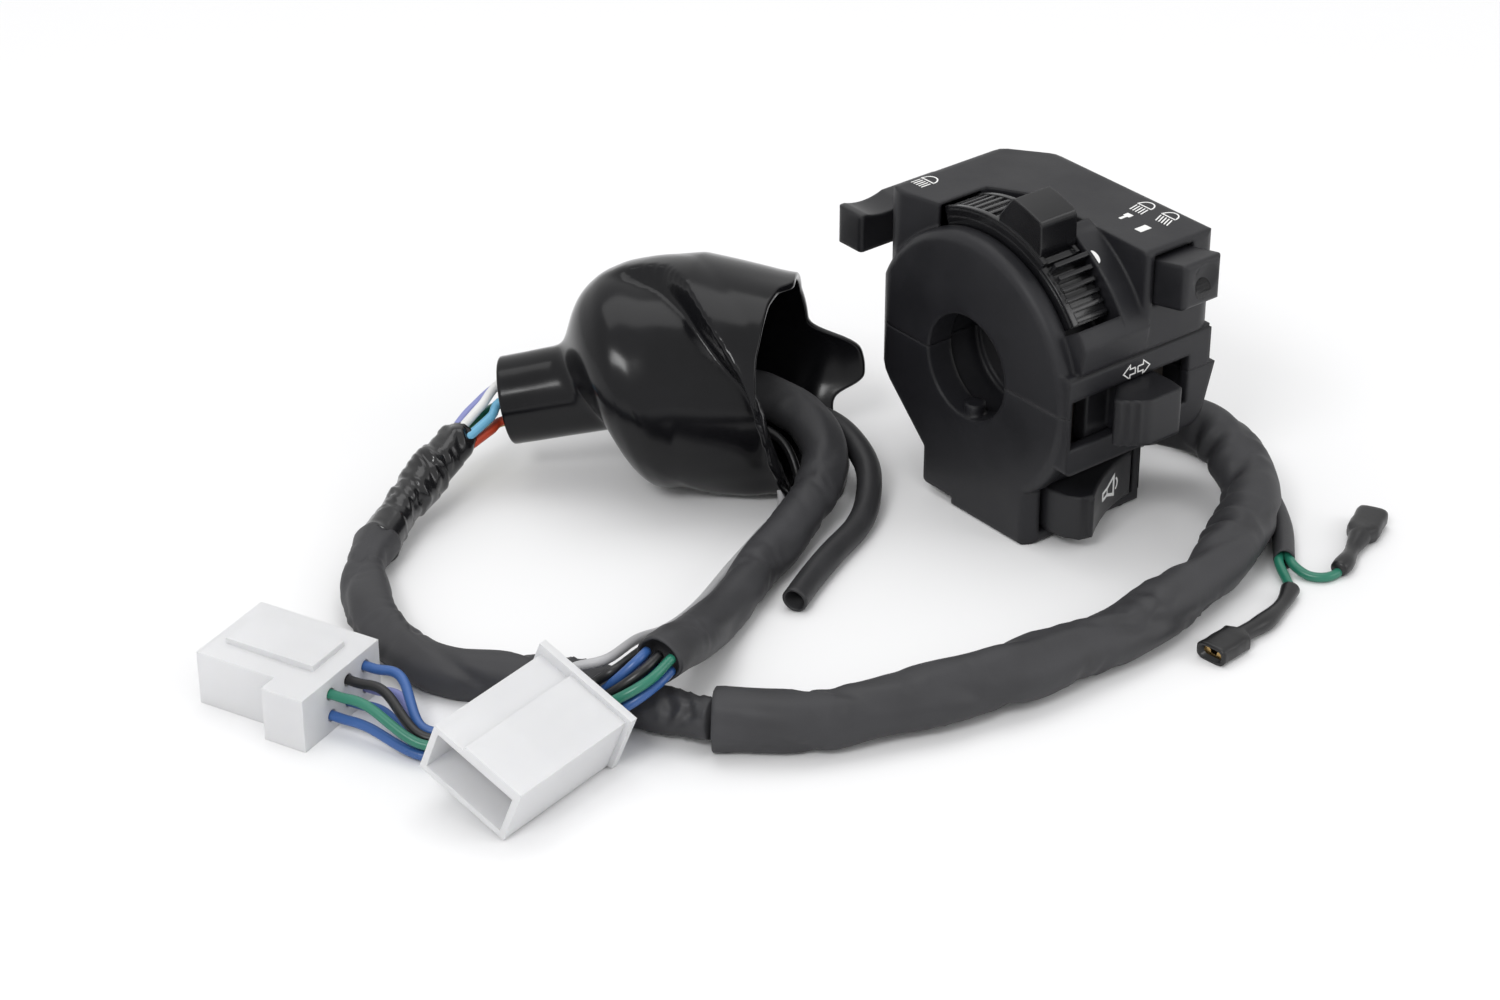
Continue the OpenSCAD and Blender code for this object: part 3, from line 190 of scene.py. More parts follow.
def curve(points, steps):
    """A smooth curve through a route's points."""
    p = [Vector(q) for q in points]
    made = []
    for i in range(len(p) - 1):
        b, c = p[i], p[i + 1]
        a = p[i - 1] if i > 0 else 2 * b - c
        d = p[i + 2] if i + 2 < len(p) else 2 * c - b
        for k in range(steps):
            t = k / steps
            made.append(0.5 * (2 * b + (c - a) * t + (2 * a - 5 * b + 4 * c - d) * t * t
                               + (3 * b - a - 3 * c + d) * t * t * t))
    return made + [p[-1]]


def spaced(points, gap):
    """The same line with points an equal gap apart."""
    along = [0.0]
    for a, b in zip(points, points[1:]):
        along.append(along[-1] + (b - a).length)
    count = max(2, round(along[-1] / gap))
    made, k = [], 0
    for i in range(count + 1):
        s = along[-1] * i / count
        while k < len(points) - 2 and along[k + 1] < s:
            k += 1
        t = (s - along[k]) / max(1e-9, along[k + 1] - along[k])
        made.append(points[k].lerp(points[k + 1], min(1, t)))
    return made


def length_of(points):
    """Length of a line of points."""
    return sum((b - a).length for a, b in zip(points, points[1:]))


def frames(points):
    """Tangent, side and up at each point, carried along without twist."""
    made = []
    up = Vector((0, 0, 1))
    for i, p in enumerate(points):
        t = (points[min(i + 1, len(points) - 1)] - points[max(i - 1, 0)]).normalized()
        up = (up - up.dot(t) * t).normalized()
        made.append((p, t, t.cross(up), up))
    return made


def add_mesh(name, verts, faces, paint, smooth=True):
    """A mesh object from points in millimetres."""
    data = bpy.data.meshes.new(name)
    data.from_pydata([mm(v) for v in verts], [], faces)
    data.validate()
    data.update()
    tidy = bmesh.new()
    tidy.from_mesh(data)
    bmesh.ops.recalc_face_normals(tidy, faces=tidy.faces)
    tidy.to_mesh(data)
    tidy.free()
    made = bpy.data.objects.new(name, data)
    scene.collection.objects.link(made)
    data.materials.append(paint)
    if smooth:
        data.polygons.foreach_set("use_smooth", [True] * len(data.polygons))
    return made


def lofted(rings, closed=True):
    """Points and faces of a skin over rings of equal count, with or without its two ends."""
    n = len(rings[0])
    verts = [p for r in rings for p in r]
    faces = []
    for i in range(len(rings) - 1):
        for k in range(n):
            a, b = i * n + k, i * n + (k + 1) % n
            faces.append((a, b, b + n, a + n))
    if closed:
        faces.append(tuple(reversed(range(n))))
        faces.append(tuple(range((len(rings) - 1) * n, len(rings) * n)))
    return verts, faces


def above_floor(p):
    """A point kept a hair above the floor."""
    return Vector((p.x, p.y, max(p.z, FLOOR + LIFT)))


# How far an open mouth's lip bulges, and how narrow its bore ends
LIP_BULGE, BORE_END = 0.25, 0.02


def tube(name, points, radius, sides, paint, open_end=0.0, skin=0.7):
    """A tube whose radius is a function of the distance along it and the angle round it.

    open_end gives the depth of an open mouth at its end, with a wall of skin.
    """
    rings, s = [], 0.0
    at = frames(points)
    for i, (p, _, side, up) in enumerate(at):
        if i:
            s += (p - at[i - 1][0]).length
        rings.append([above_floor(p + radius(s, a) * (math.cos(a) * side + math.sin(a) * up))
                      for a in (2 * math.pi * k / sides for k in range(sides))])
    if open_end:
        p, inward, outer = at[-1][0], -at[-1][1], rings[-1]
        lip = [p + (q - p) * (1 - skin / (q - p).length) for q in outer]
        mid = [(a + b) / 2 - inward * LIP_BULGE for a, b in zip(outer, lip)]
        deep = [q + inward * open_end for q in lip]
        bottom = [p + inward * open_end + (q - p) * BORE_END for q in outer]
        rings += [mid, lip, deep, bottom]
    return add_mesh(name, *lofted(rings), paint)


def ease(x):
    """A smooth step from 0 to 1."""
    x = min(1, max(0, x))
    return x * x * (3 - 2 * x)


def drift(x, y, z):
    """Smooth noise at a point, from -1 to 1."""
    return noise.noise(Vector((x, y, z)))


def ripple(s, a, scale, seed, around=1.0):
    """Smooth noise on a tube's skin, from -1 to 1."""
    return drift(s / scale + seed * 7.3, around * math.cos(a) + seed * 3.1, around * math.sin(a) - seed)


# A sleeve's swellings, oval, creases and twists: millimetres from one to the next, then how strong they are
LUMP_GAP, OVAL_GAP, CREASE_GAP, TWIST_GAP, TWIST_TURN = 16, 30, 11, 22, 6.5
OVAL, CREASE_SLANT, CREASE_FLOOR, TWIST_SHARE = 0.045, 1.5, 0.25, 0.35


def sleeve_skin(r, seed, lump=0.06, fold=0.05, pitch=2.4):
    """Radius of a soft vinyl sleeve: slow swelling, an oval that turns, and creases across it."""
    def at(s, a):
        slow = lump * ripple(s, a, LUMP_GAP, seed, 0.6)
        oval = OVAL * math.cos(2 * a + 4 * drift(s / OVAL_GAP + seed, seed, 0))
        crease = ripple(s + CREASE_SLANT * math.sin(a + seed), a, pitch, seed + 2, 0.8)
        strength = max(0.0, drift(s / CREASE_GAP - seed, 4.2, 0.7 * math.sin(a)) + CREASE_FLOOR)
        twist = math.cos(2 * a + s / TWIST_TURN + 3 * drift(s / TWIST_GAP - seed, 1.7, seed))
        return r * (1 + slow + oval - fold * strength * abs(crease) - TWIST_SHARE * fold * max(0.0, twist) ** 4)
    return at


def wire_skin(r):
    """Radius of a plain round wire."""
    return lambda s, a: r


# Sizes and routes, repeated from the part's source in millimetres
LOOM_D, SLEEVE_D, TAPE_D, THIN_D, WIRE_D, CLUTCH_D = 11.5, 9.0, 8.6, 5.0, 1.9, 4.4
GAP = 0.1
LOOM_Z = FLOOR + LOOM_D / 2 + GAP
SLEEVE_Z = FLOOR + SLEEVE_D / 2 + GAP
WIRE_Z = FLOOR + WIRE_D / 2 + GAP
LAMP_Z = WIRE_Z + GAP
CLUTCH_Z = FLOOR + CLUTCH_D / 2 + GAP
THIN_Z = FLOOR + THIN_D / 2 + GAP
OUTLET = Vector((15.15, -11.1, -18.55))
OUTLET_WAY = unit((16.2, -9.7, 0))
LOOM_START = OUTLET + 2 * OUTLET_WAY
MAIN_ROUTE = [
    LOOM_START, LOOM_START + 2 * OUTLET_WAY, LOOM_START + 4 * OUTLET_WAY,
    (24.6, -21, -19.5), (25.6, -28, -21), (24, -34.5, -23), (20.5, -40, -25), (14.5, -45, -26.3),
    (5, -50.5, LOOM_Z), (-8, -55.5, LOOM_Z), (-23, -58.5, LOOM_Z), (-37, -59, LOOM_Z), (-49, -58, LOOM_Z),
    (-60, -56.5, LOOM_Z), (-70, -54.5, LOOM_Z), (-80, -52, LOOM_Z), (-89, -48.5, LOOM_Z),
    (-97, -44.5, LOOM_Z), (-104, -40, LOOM_Z), (-110, -34.5, LOOM_Z),
]
REAR_ROUTE = [
    (-110, -34.5, LOOM_Z), (-113.5, -26, SLEEVE_Z + 0.3), (-116.5, -16, SLEEVE_Z), (-122, -7, SLEEVE_Z),
    (-130, 1.5, SLEEVE_Z), (-136.5, 9.5, SLEEVE_Z), (-139, 20, SLEEVE_Z), (-138, 31, SLEEVE_Z),
    (-134.5, 41, SLEEVE_Z), (-129, 49.5, SLEEVE_Z), (-122, 56, SLEEVE_Z),
]
TAPE_ROUTE = [(-122, 56, SLEEVE_Z), (-113, 61.5, -26.5), (-104, 65.5, -24), (-95.5, 68, -21), (-87, 70, -18.5)]
MOUTH_ROUTE = [
    (-46, 43, -14), (-41, 36, -14.5), (-37.5, 28, -17), (-39, 20, -21.5), (-46.5, 14, -25.5), (-57, 9, -27.5),
    (-68, 3.5, SLEEVE_Z), (-79, -2.5, SLEEVE_Z), (-90, -9, -26.5), (-100.5, -16, -23), (-109, -21.5, -18.8),
    (-114, -23.8, -18),
]
THIN_ROUTE = [
    (-36.5, 42, -19), (-32.5, 34, -20), (-29.5, 26, -22), (-30.5, 17, -25.5), (-36, 10, -28.5), (-43, 5, THIN_Z),
    (-53, 0.5, THIN_Z), (-62, -4, THIN_Z), (-70, -8.5, THIN_Z),
]
LAMP_ROUTES = [
    [(-51, 39, -16), (-46, 33, -18), (-43, 28, -21), (-43.5, 23, -26), (-47.5, 18.8, -29.3), (-56, 14.2, LAMP_Z),
     (-68, 8.3, LAMP_Z), (-82, 1, LAMP_Z), (-96, -6.2, -28.5), (-109, -13.2, -22.6), (-120, -19.3, -19.4)],
    [(-53, 36, -19), (-48, 30, -22.5), (-46.8, 24.8, -27), (-49.8, 20.5, -30.8), (-58, 16.8, LAMP_Z),
     (-70, 10.9, LAMP_Z), (-84, 3.7, LAMP_Z), (-97, -3.5, -28), (-109, -10.3, -22.2), (-120, -16, -19.2)],
]
SIGNAL_MIDDLE = [
    (-118, -25, -18.6), (-122.5, -23.6, -21.6), (-125, -18.6, -26.4), (-129.5, -13, -29.8), (-138, -11.2, -29.9),
    (-146, -9.4, -29.9), (-152.5, -3.5, -29.8),
]
SIGNAL_ACROSS = [
    (0.2, -1, 0), (-0.4, -0.9, 0), (-0.8, -0.6, 0), (-0.7, -0.7, 0), (-0.3, -1, 0), (-0.5, -0.9, 0),
    (-0.9, -0.5, 0),
]
CLUTCH_ROUTE = [
    (20, 4, -25), (22.5, 4, -25), (25, 4, -25), (31, -1, -28), (34, -12, CLUTCH_Z), (33.5, -24, CLUTCH_Z),
    (29.5, -36, CLUTCH_Z), (22.5, -47, CLUTCH_Z), (14, -56, CLUTCH_Z),
]
COVER_D, COVER_L, COVER_W, COVER_H = 3.2, 9.0, 6.4, 3.8
COVER_Z = FLOOR + COVER_D / 2 + GAP
CLUTCH_WIRES = [
    [(14.8, -56.7, CLUTCH_Z), (14.2, -59.2, -30.8), (14.8, -62, WIRE_Z), (16.8, -64.3, WIRE_Z),
     (20, -64.6, WIRE_Z)],
    [(13.2, -55.3, CLUTCH_Z), (11.6, -57.6, -30.8), (10, -60.8, WIRE_Z), (8, -63.6, WIRE_Z)],
]
COVER_ROUTES = [
    [(20, -64.6, WIRE_Z + 0.6), (23.5, -63.4, COVER_Z), (28, -61, COVER_Z), (32.5, -58.8, COVER_Z + 0.3)],
    [(8, -63.6, WIRE_Z + 0.6), (3, -66.4, COVER_Z), (-4, -68.8, COVER_Z), (-12, -69.8, COVER_Z + 0.3)],
]
COVER_TURNS = [27, 186]
SIX_MID, SIX_HEADING, SIX_L, SIX_H = Vector((-160.5, 27, FLOOR)), -68.4, 26.4, 11.0
SIX_PLACES = [(SIX_L / 2, i * 5.4, SIX_H / 2 + j * 2.3) for i in (-1, 0, 1) for j in (-1, 1)]
THREE_MID, THREE_HEADING, THREE_LEAN = Vector((-143.4, -26.4, -17.1)), 14, 22
THREE_L, THREE_H = 30.0, 12.0
THREE_PLACES = [(THREE_L / 2, 2 + i * 4.5, -THREE_H / 2) for i in (0, 1, -1)]
# Stations of a wire that enters a connector, from its back face
SIX_ENTRY, THREE_ENTRY = (8, 2, -4), (6, 2, -4)
SIX_TURN = Matrix.Translation(SIX_MID) @ Matrix.Rotation(math.radians(SIX_HEADING), 4, "Z")
THREE_TURN = (Matrix.Translation(THREE_MID) @ Matrix.Rotation(math.radians(THREE_HEADING), 4, "Z")
              @ Matrix.Rotation(math.radians(THREE_LEAN), 4, "X"))
BOOT_MID = Vector((-51, 46, FLOOR + 23.5))
BOOT_HEADING = math.radians(-50)
BOOT_WAY = Vector((math.cos(BOOT_HEADING), math.sin(BOOT_HEADING), 0))
NECK_END = Vector((-80, 71, -17))
NECK_WAY = (BOOT_MID - NECK_END).normalized()


def across(w):
    """The level direction across a way."""
    return Vector((-w.y, w.x, 0)).normalized()


def spoke(w, angle):
    """A direction at an angle round a way."""
    a = math.radians(angle)
    return math.cos(a) * across(w) + math.sin(a) * Vector((0, 0, 1))


def declare(piece, node_names):
    """A made piece that rides on the housing, with the CAD solids it stands for hidden."""
    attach(piece, "housing")
    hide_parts(*node_names)


SLEEVE_STEPS, WIRE_STEPS, WIRE_SIDES = 12, 10, 14


def sleeve_line(route, gap):
    """The line of a sleeve, with points a gap apart."""
    return spaced(curve(route, SLEEVE_STEPS), gap)


def lay_wire(name, route, gap, colour, node_name):
    """A limp wire along a route, riding on the housing in place of its CAD solid."""
    line = spaced(curve(route, WIRE_STEPS), gap)
    wire = tube(name, line, wire_skin(WIRE_D / 2), WIRE_SIDES, wire_paint[colour])
    declare(wire, [node_name])


# Thick sleeve from the housing, open where the thinner one comes out of it
main_line = sleeve_line(MAIN_ROUTE, 0.8)
main_l = length_of(main_line)
plain_loom = sleeve_skin(LOOM_D / 2, 1.0, 0.3, 0.34, 3.6)
# Where its bend begins and fades and over what lengths, its wrinkles, the angle of its inside, and its flared end
BEND_AT, BEND_IN, BEND_FADE, BEND_OUT = 6, 10, 62, 24
WRINKLE_GAP, WRINKLE_DEEP, WRINKLE_VARY, WRINKLE_LEAST, INSIDE_AT = 7.4, 0.9, 1.4, 0.1, 0.25
FLARE_L, FLARE_IN, FLARE_OUT, FLARE_VARY = 6, 5, 0.25, 0.9


def bent_loom(s, a):
    """The thick sleeve, which wrinkles on the inside of its bend and flares unevenly at its end."""
    bend = ease((s - BEND_AT) / BEND_IN) * (1 - ease((s - BEND_FADE) / BEND_OUT))
    deep = WRINKLE_DEEP + WRINKLE_VARY * drift(s / 11, 5.2, 0.4)
    wave = 0.5 + 0.5 * math.cos(2 * math.pi * s / WRINKLE_GAP + 5 * drift(s / 13, 2.2, 0.4))
    end = ease((s - main_l + FLARE_L) / FLARE_IN) * (FLARE_OUT + FLARE_VARY * ripple(0, a, 1, 31.0, 1.2))
    inside = max(0.0, math.cos(a - INSIDE_AT)) ** 1.5
    return plain_loom(s, a) + end - bend * max(WRINKLE_LEAST, deep) * wave * inside


main_loom = tube("main_loom_sleeve", main_line, bent_loom, 48, sleeve_grey, open_end=5.0)

# Thinner sleeve that carries on, and the taped stretch at its end, which shows some of the wires under it
TAPE_CUT = 11
rear_line = sleeve_line(REAR_ROUTE, 0.7)
tape_line = sleeve_line(TAPE_ROUTE, 0.45)[:-TAPE_CUT]
tape_l = length_of(tape_line)
rear_loom = tube("rear_loom_sleeve", rear_line, sleeve_skin(SLEEVE_D / 2, 5.0, 0.3, 0.4, 2.6), 36, sleeve_grey)
# Ends of the tape's thick bands and the width of their edges, its slant, turns, wrinkles and taper
BAND_ENDS, BAND_EDGE, BAND_RISE, FIRST_RISE = (6, 15, 24), 0.8, 0.55, 0.35
TAPE_SLANT, TAPE_TURN, TURN_RISE, TAPE_THIN = 1.8, 9.3, 0.22, 0.45
CRUMPLE_FLOOR, CRUMPLE_RISE, LUMP_RISE, TAPER, TAPER_L = 0.2, 1.3, 0.9, 0.8, 3


def tape_skin(s, a):
    """Tape wound on by hand: two thick bands, slanted edges and wrinkles that come and go."""
    slant = s + TAPE_SLANT * math.cos(a + 0.6)
    first, second, third = (ease((slant - end) / BAND_EDGE) for end in BAND_ENDS)
    band = BAND_RISE * second * (1 - third) + FIRST_RISE * (1 - first)
    turn_at = TURN_RISE * ((s / TAPE_TURN + a / (2 * math.pi)) % 1)
    crumple = max(0.0, ripple(s, a, 7, 21.0, 0.8) + CRUMPLE_FLOOR)
    wrinkle = CRUMPLE_RISE * crumple * ripple(s + 2.4 * math.cos(a), a, 1.5, 9.0, 1.3)
    taper = TAPER * ease((s - tape_l + TAPER_L) / TAPER_L)
    return TAPE_D / 2 - TAPE_THIN + band + turn_at + wrinkle - taper + LUMP_RISE * ripple(s, a, 9, 11.0, 0.7)


tape = tube("taped_loom_wrap", tape_line, tape_skin, 40, tape_black)
declare(main_loom, ["main_loom"])
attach(tape, "housing")
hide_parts("taped_loom")
declare(rear_loom, ["rear_loom"])

# Six wires that start under the tape and run through the boot's neck
TAPE_END = Vector(TAPE_ROUTE[-1])
TAPE_WAY = (TAPE_END - Vector(TAPE_ROUTE[-2])).normalized()
MOUTH = Vector(MOUTH_ROUTE[0])
SLEEVE_WAY = (Vector(MOUTH_ROUTE[1]) - MOUTH).normalized()
NECK_COLOURS = ["violet", "white", "light_blue", "red", "yellow", "green"]
# Spread of the wires in the neck, at the tape's end and under it, then their lengths under the tape, in the neck
# and in the bulb
WIDE, TIGHT, TIGHTEST, UNDER_TAPE, NECK_L, BULB_L = 4.65, 3.0, 2.2, 7, 14, 10
for i, colour in enumerate(NECK_COLOURS):
    a = 60 * i + 30
    lay_wire("neck_wire_%d" % (i + 1), [
        TAPE_END - UNDER_TAPE * TAPE_WAY + TIGHTEST * spoke(TAPE_WAY, a),
        TAPE_END + TIGHT * spoke(TAPE_WAY, a),
        NECK_END + WIDE * spoke(NECK_WAY, a),
        NECK_END + NECK_L * NECK_WAY + WIDE * spoke(NECK_WAY, a),
        MOUTH - BULB_L * SLEEVE_WAY + TIGHT * spoke(SLEEVE_WAY, a),
        MOUTH + TIGHT * spoke(SLEEVE_WAY, a),
    ], 0.9, colour, "neck_wires")

# Sleeves out of the boot's mouth
mouth_line = sleeve_line(MOUTH_ROUTE, 0.8)
mouth_sleeve = tube("boot_sleeve_tube", mouth_line, sleeve_skin(SLEEVE_D / 2, 8.0, 0.16, 0.2, 3.2), 36, sleeve_grey,
                    open_end=4.0)
declare(mouth_sleeve, ["boot_sleeve"])
thin_line = sleeve_line(THIN_ROUTE, 0.6)
thin_sleeve = tube("thin_sleeve_tube", thin_line, sleeve_skin(THIN_D / 2, 12.0, 0.04, 0.03, 2.0), 28, thin_grey,
                   open_end=8.0, skin=0.6)
declare(thin_sleeve, ["thin_sleeve"])

# Wires of the two connectors
SIGNAL_COLOURS = ["blue", "green", "blue", "black", "violet", "blue"]
LAMP_COLOURS = ["black", "grey"]
PITCH = WIRE_D + 0.6
sleeve_end = Vector(MOUTH_ROUTE[-1])
sleeve_last = (sleeve_end - Vector(MOUTH_ROUTE[-2])).normalized()
middle = [Vector(p) for p in SIGNAL_MIDDLE]
for i, colour in enumerate(SIGNAL_COLOURS):
    column, layer = i // 2 - 1, i % 2 - 0.5
    route = [sleeve_end - PITCH * column * across(sleeve_last) + PITCH * layer * Vector((0, 0, 1))]
    for k, p in enumerate(middle):
        w = (middle[min(k + 1, len(middle) - 1)] - middle[max(k - 1, 0)]).normalized()
        v = Vector(SIGNAL_ACROSS[k])
        v = (v - v.dot(w) * w).normalized()
        route.append(p - PITCH * column * v + PITCH * layer * w.cross(v))
    x, y, z = SIX_PLACES[i]
    route += [SIX_TURN @ Vector((x + d, y, z)) for d in SIX_ENTRY]
    lay_wire("signal_wire_%d" % (i + 1), route, 0.8, colour, "signal_wires")

for i, colour in enumerate(LAMP_COLOURS):
    x, y, z = THREE_PLACES[i]
    route = LAMP_ROUTES[i] + [THREE_TURN @ Vector((x + d, y, z)) for d in THREE_ENTRY]
    lay_wire("lamp_wire_%d" % (i + 1), route, 0.8, colour, "lamp_wires")

# Clutch-switch branch
clutch_line = sleeve_line(CLUTCH_ROUTE, 0.6)
clutch_sleeve = tube("clutch_sleeve_tube", clutch_line, sleeve_skin(CLUTCH_D / 2, 15.0, 0.03, 0.03, 1.8), 28,
                     sleeve_grey, open_end=5.0, skin=0.5)
declare(clutch_sleeve, ["clutch_sleeve"])
# Stations, wall and depth of the covers' pockets, how square they are, and where the wires start in the sleeve
POCKET_AT, POCKET_LIFT, POCKET_WALL, POCKET_DEEP = (1.2, 2.6, 4, 5.5, 7, 8.2, COVER_L), 0.05, (0.7, 0.75), 7.2
COVER_SIDES, ROUND, SQUARE, WIRE_FROM = 28, 2.0, 3.6, 0.4


def flat_ring(at, half_w, half_h, sides, power):
    """A rounded oblong ring across a frame."""
    p, t, side, up = at
    made = []
    for k in range(sides):
        a = 2 * math.pi * k / sides
        c, s = math.cos(a), math.sin(a)
        made.append(above_floor(p + half_w * math.copysign(abs(c) ** (2 / power), c) * side
                                + half_h * math.copysign(abs(s) ** (2 / power), s) * up))
    return made


for i in (0, 1):
    tip = Vector(COVER_ROUTES[i][-1])
    heading = math.radians(COVER_TURNS[i])
    ahead = Vector((math.cos(heading), math.sin(heading), 0))
    tip.z = FLOOR + COVER_H / 2 + POCKET_LIFT
    pocket = [tip + d * ahead for d in POCKET_AT]
    cover_line = spaced(curve(COVER_ROUTES[i], 8), 0.5)
    narrow = len(cover_line)
    stations = frames(cover_line + pocket)
    rings = []
    for k, at in enumerate(stations):
        if k < narrow:
            share = k / narrow
            swell = 1 + 0.16 * math.sin(share * 9 + 2 * i) + 0.25 * max(0, share - 0.8) * 5
            r = COVER_D / 2 * (0.86 if k == 0 else swell)
            rings.append(flat_ring(at, r * 1.05, r * 0.97, COVER_SIDES, ROUND))
        else:
            wide = COVER_W / 2 * (1.0 + 0.03 * math.sin(k * 2.1))
            tall = COVER_H / 2 * (1.02 if k == narrow else 0.97)
            rings.append(flat_ring(at, wide, tall, COVER_SIDES, SQUARE))
    p, t, side, up = stations[-1]
    for depth, skin in zip((0, POCKET_DEEP), POCKET_WALL):
        at = (p - depth * t, t, side, up)
        rings.append(flat_ring(at, COVER_W / 2 - skin, COVER_H / 2 - skin, COVER_SIDES, SQUARE))
    cover = add_mesh("clutch_cover_%d" % (i + 1), *lofted(rings), cover_black)
    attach(cover, "housing")
    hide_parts("clutch_terminal_covers")
    start = Vector(CLUTCH_ROUTE[-2]).lerp(Vector(CLUTCH_ROUTE[-1]), WIRE_FROM)
    lay_wire("clutch_wire_%d" % (i + 1), [start] + CLUTCH_WIRES[i] + COVER_ROUTES[i][1:], 0.7, "green",
             "clutch_wires")

# Rubber boot: neck, bulb with a fold on its near side, and a scalloped mouth
# Angles run from the top over the near side, lengths from the end of the neck
BOOT_SIDES, BOOT_ROWS, BOOT_R, NECK_R = 120, 96, 23.5, 9.0
NEAR = Vector((-0.766, -0.643, 0))
# How far the skin stands out, from the neck to the full bulb
SWELL = [(0, 0), (17.5, 0.02), (19.6, 0.09), (20.8, 0.3), (22.2, 0.55), (24.2, 0.76), (27.5, 0.94), (31.5, 1.02),
         (37, 1.03), (44, 1), (56, 0.94), (80, 0.91)]
# Length of the rim beyond the bulb's middle, and how far it flares
RIM = [(0, 20), (8, 17.6), (23, 16.5), (54, 16.1), (83, 16.9), (105, 17.8), (120, 19.3), (135, 21.5), (145, 23.5),
       (152, 25.4), (156, 28.2), (161, 30.1), (170, 31.1), (192, 30.9), (200, 30.1), (212, 27.5), (223, 25.6),
       (230, 25.1), (235, 25.8), (240, 29), (245, 31.3), (254, 31.1), (262, 30.2), (266, 28.6), (270, 22),
       (274, 19.2), (286, 18.9), (302, 18.3), (330, 19), (360, 20)]
FLARE = [(0, -1.4), (23, -0.4), (41, 0), (105, 0), (125, 0.2), (140, 1.6), (153, 4), (161, 2.6), (171, 1.5),
         (192, 0.2), (212, -0.4), (270, -0.6), (302, -1.4), (330, -1.6), (360, -1.4)]
# Angle of the fold's ridge and depth of the hollow under it
RIDGE = [(24, -6), (31, 0), (34, 5), (36.6, 13), (43, 35), (50, 58), (53, 67), (55, 79), (56.6, 97), (58, 120),
         (64, 180)]
HOLLOW = [(24, 0), (29, 2.5), (36, 4.5), (45, 6), (55, 6.5), (59, 3), (64, 0)]
LEAN, RIDGE_RISE, RIDGE_TURN, RIDGE_EDGE, HOLLOW_TURN = 5.5, 0.2, 30, 6, 110
BOOT_BACK = (BOOT_MID - NECK_END).length
# Share of the neck and bulb before the boot bends, and the thickness of its wall
BEND_FROM, BOOT_WALL = 0.3, 1.5


def lookup(table, x):
    """Straight interpolation in a table of pairs."""
    if x <= table[0][0]:
        return table[0][1]
    for (x0, y0), (x1, y1) in zip(table, table[1:]):
        if x <= x1:
            return y0 + (y1 - y0) * (x - x0) / (x1 - x0)
    return table[-1][1]


EASING = (1, 2, 3, 4, 3, 2, 1)


def softened(table, x, reach, around=math.inf):
    """The same with its corners eased over a reach, and closed where it goes around."""
    total = 0
    for k, weight in zip(range(-3, 4), EASING):
        at = x + reach * k / 3
        total += lookup(table, at if around == math.inf else at % around) * weight
    return total / sum(EASING)


def boot_fold(s, angle):
    """A ridge that runs from the top of the bulb down to the rim, with a hollow under it."""
    off = (angle + RIDGE_TURN) % 360 - RIDGE_TURN - softened(RIDGE, s, 2)
    deep = softened(HOLLOW, s, 2)
    if 0 <= off < HOLLOW_TURN:
        return -deep * ease(off / RIDGE_EDGE) * (1 - off / HOLLOW_TURN)
    if -RIDGE_TURN < off < 0:
        return RIDGE_RISE * deep * (1 + off / RIDGE_TURN)
    return 0


def boot_point(u, angle):
    """A point of the boot's outside at a share of its length and an angle."""
    s = u * (BOOT_BACK + softened(RIM, angle, 2, 360))
    centre = NECK_END + s * NECK_WAY if s < BOOT_BACK else BOOT_MID + (s - BOOT_BACK) * BOOT_WAY
    bend = min(1, max(0, (s / BOOT_BACK - BEND_FROM) / (1 - BEND_FROM)))
    way = NECK_WAY.lerp(BOOT_WAY, bend).normalized()
    side = (NEAR - NEAR.dot(way) * way).normalized()
    up = side.cross(way)
    a = math.radians(angle)
    lean = LEAN * math.cos(a) * ease((s - 4) / 8) * (1 - ease((s - BOOT_BACK) / 14))
    r = NECK_R + (BOOT_R - NECK_R) * softened(SWELL, s + lean, 1.5) + boot_fold(s, angle)
    r += ease((s - BOOT_BACK + 2) / 22) * softened(FLARE, angle, 4, 360)
    return above_floor(centre + r * (math.cos(a) * up + math.sin(a) * side))


boot_rings = []
for i in range(BOOT_ROWS + 1):
    boot_rings.append([boot_point(i / BOOT_ROWS, 360 * k / BOOT_SIDES) for k in range(BOOT_SIDES)])
boot = add_mesh("boot_rubber", *lofted(boot_rings, closed=False), rubber_black)
wall = boot.modifiers.new("wall", "SOLIDIFY")
wall.thickness = BOOT_WALL * MM
wall.offset = -1
wall.use_even_offset = True
smooth = boot.modifiers.new("smooth", "SUBSURF")
smooth.levels = 1
smooth.render_levels = 1
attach(boot, "housing")
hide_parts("boot")

# Finish of the CAD pieces
FINISH = {
    "upper_housing": housing_black, "lower_housing": housing_black, "housing_screws": steel,
    "choke_lever": gloss_black, "choke_leaf_spring": steel, "pass_trigger": knob_black, "pass_pin": steel,
    "pass_contact_block": fibre, "dimmer_button": knob_black, "dimmer_contact_block": fibre,
    "turn_knob": knob_black, "turn_base_plate": fibre, "turn_detent_ball": steel,
    "turn_detent_spring": steel, "horn_button": knob_black, "horn_pin": steel,
    "horn_contact_block": fibre, "base_screws": steel, "loom_grommet": rubber_black, "connector_six_way": nylon,
    "connector_three_way": nylon, "six_way_terminals": brass, "three_way_terminals": brass,
    "clutch_terminals": brass,
}
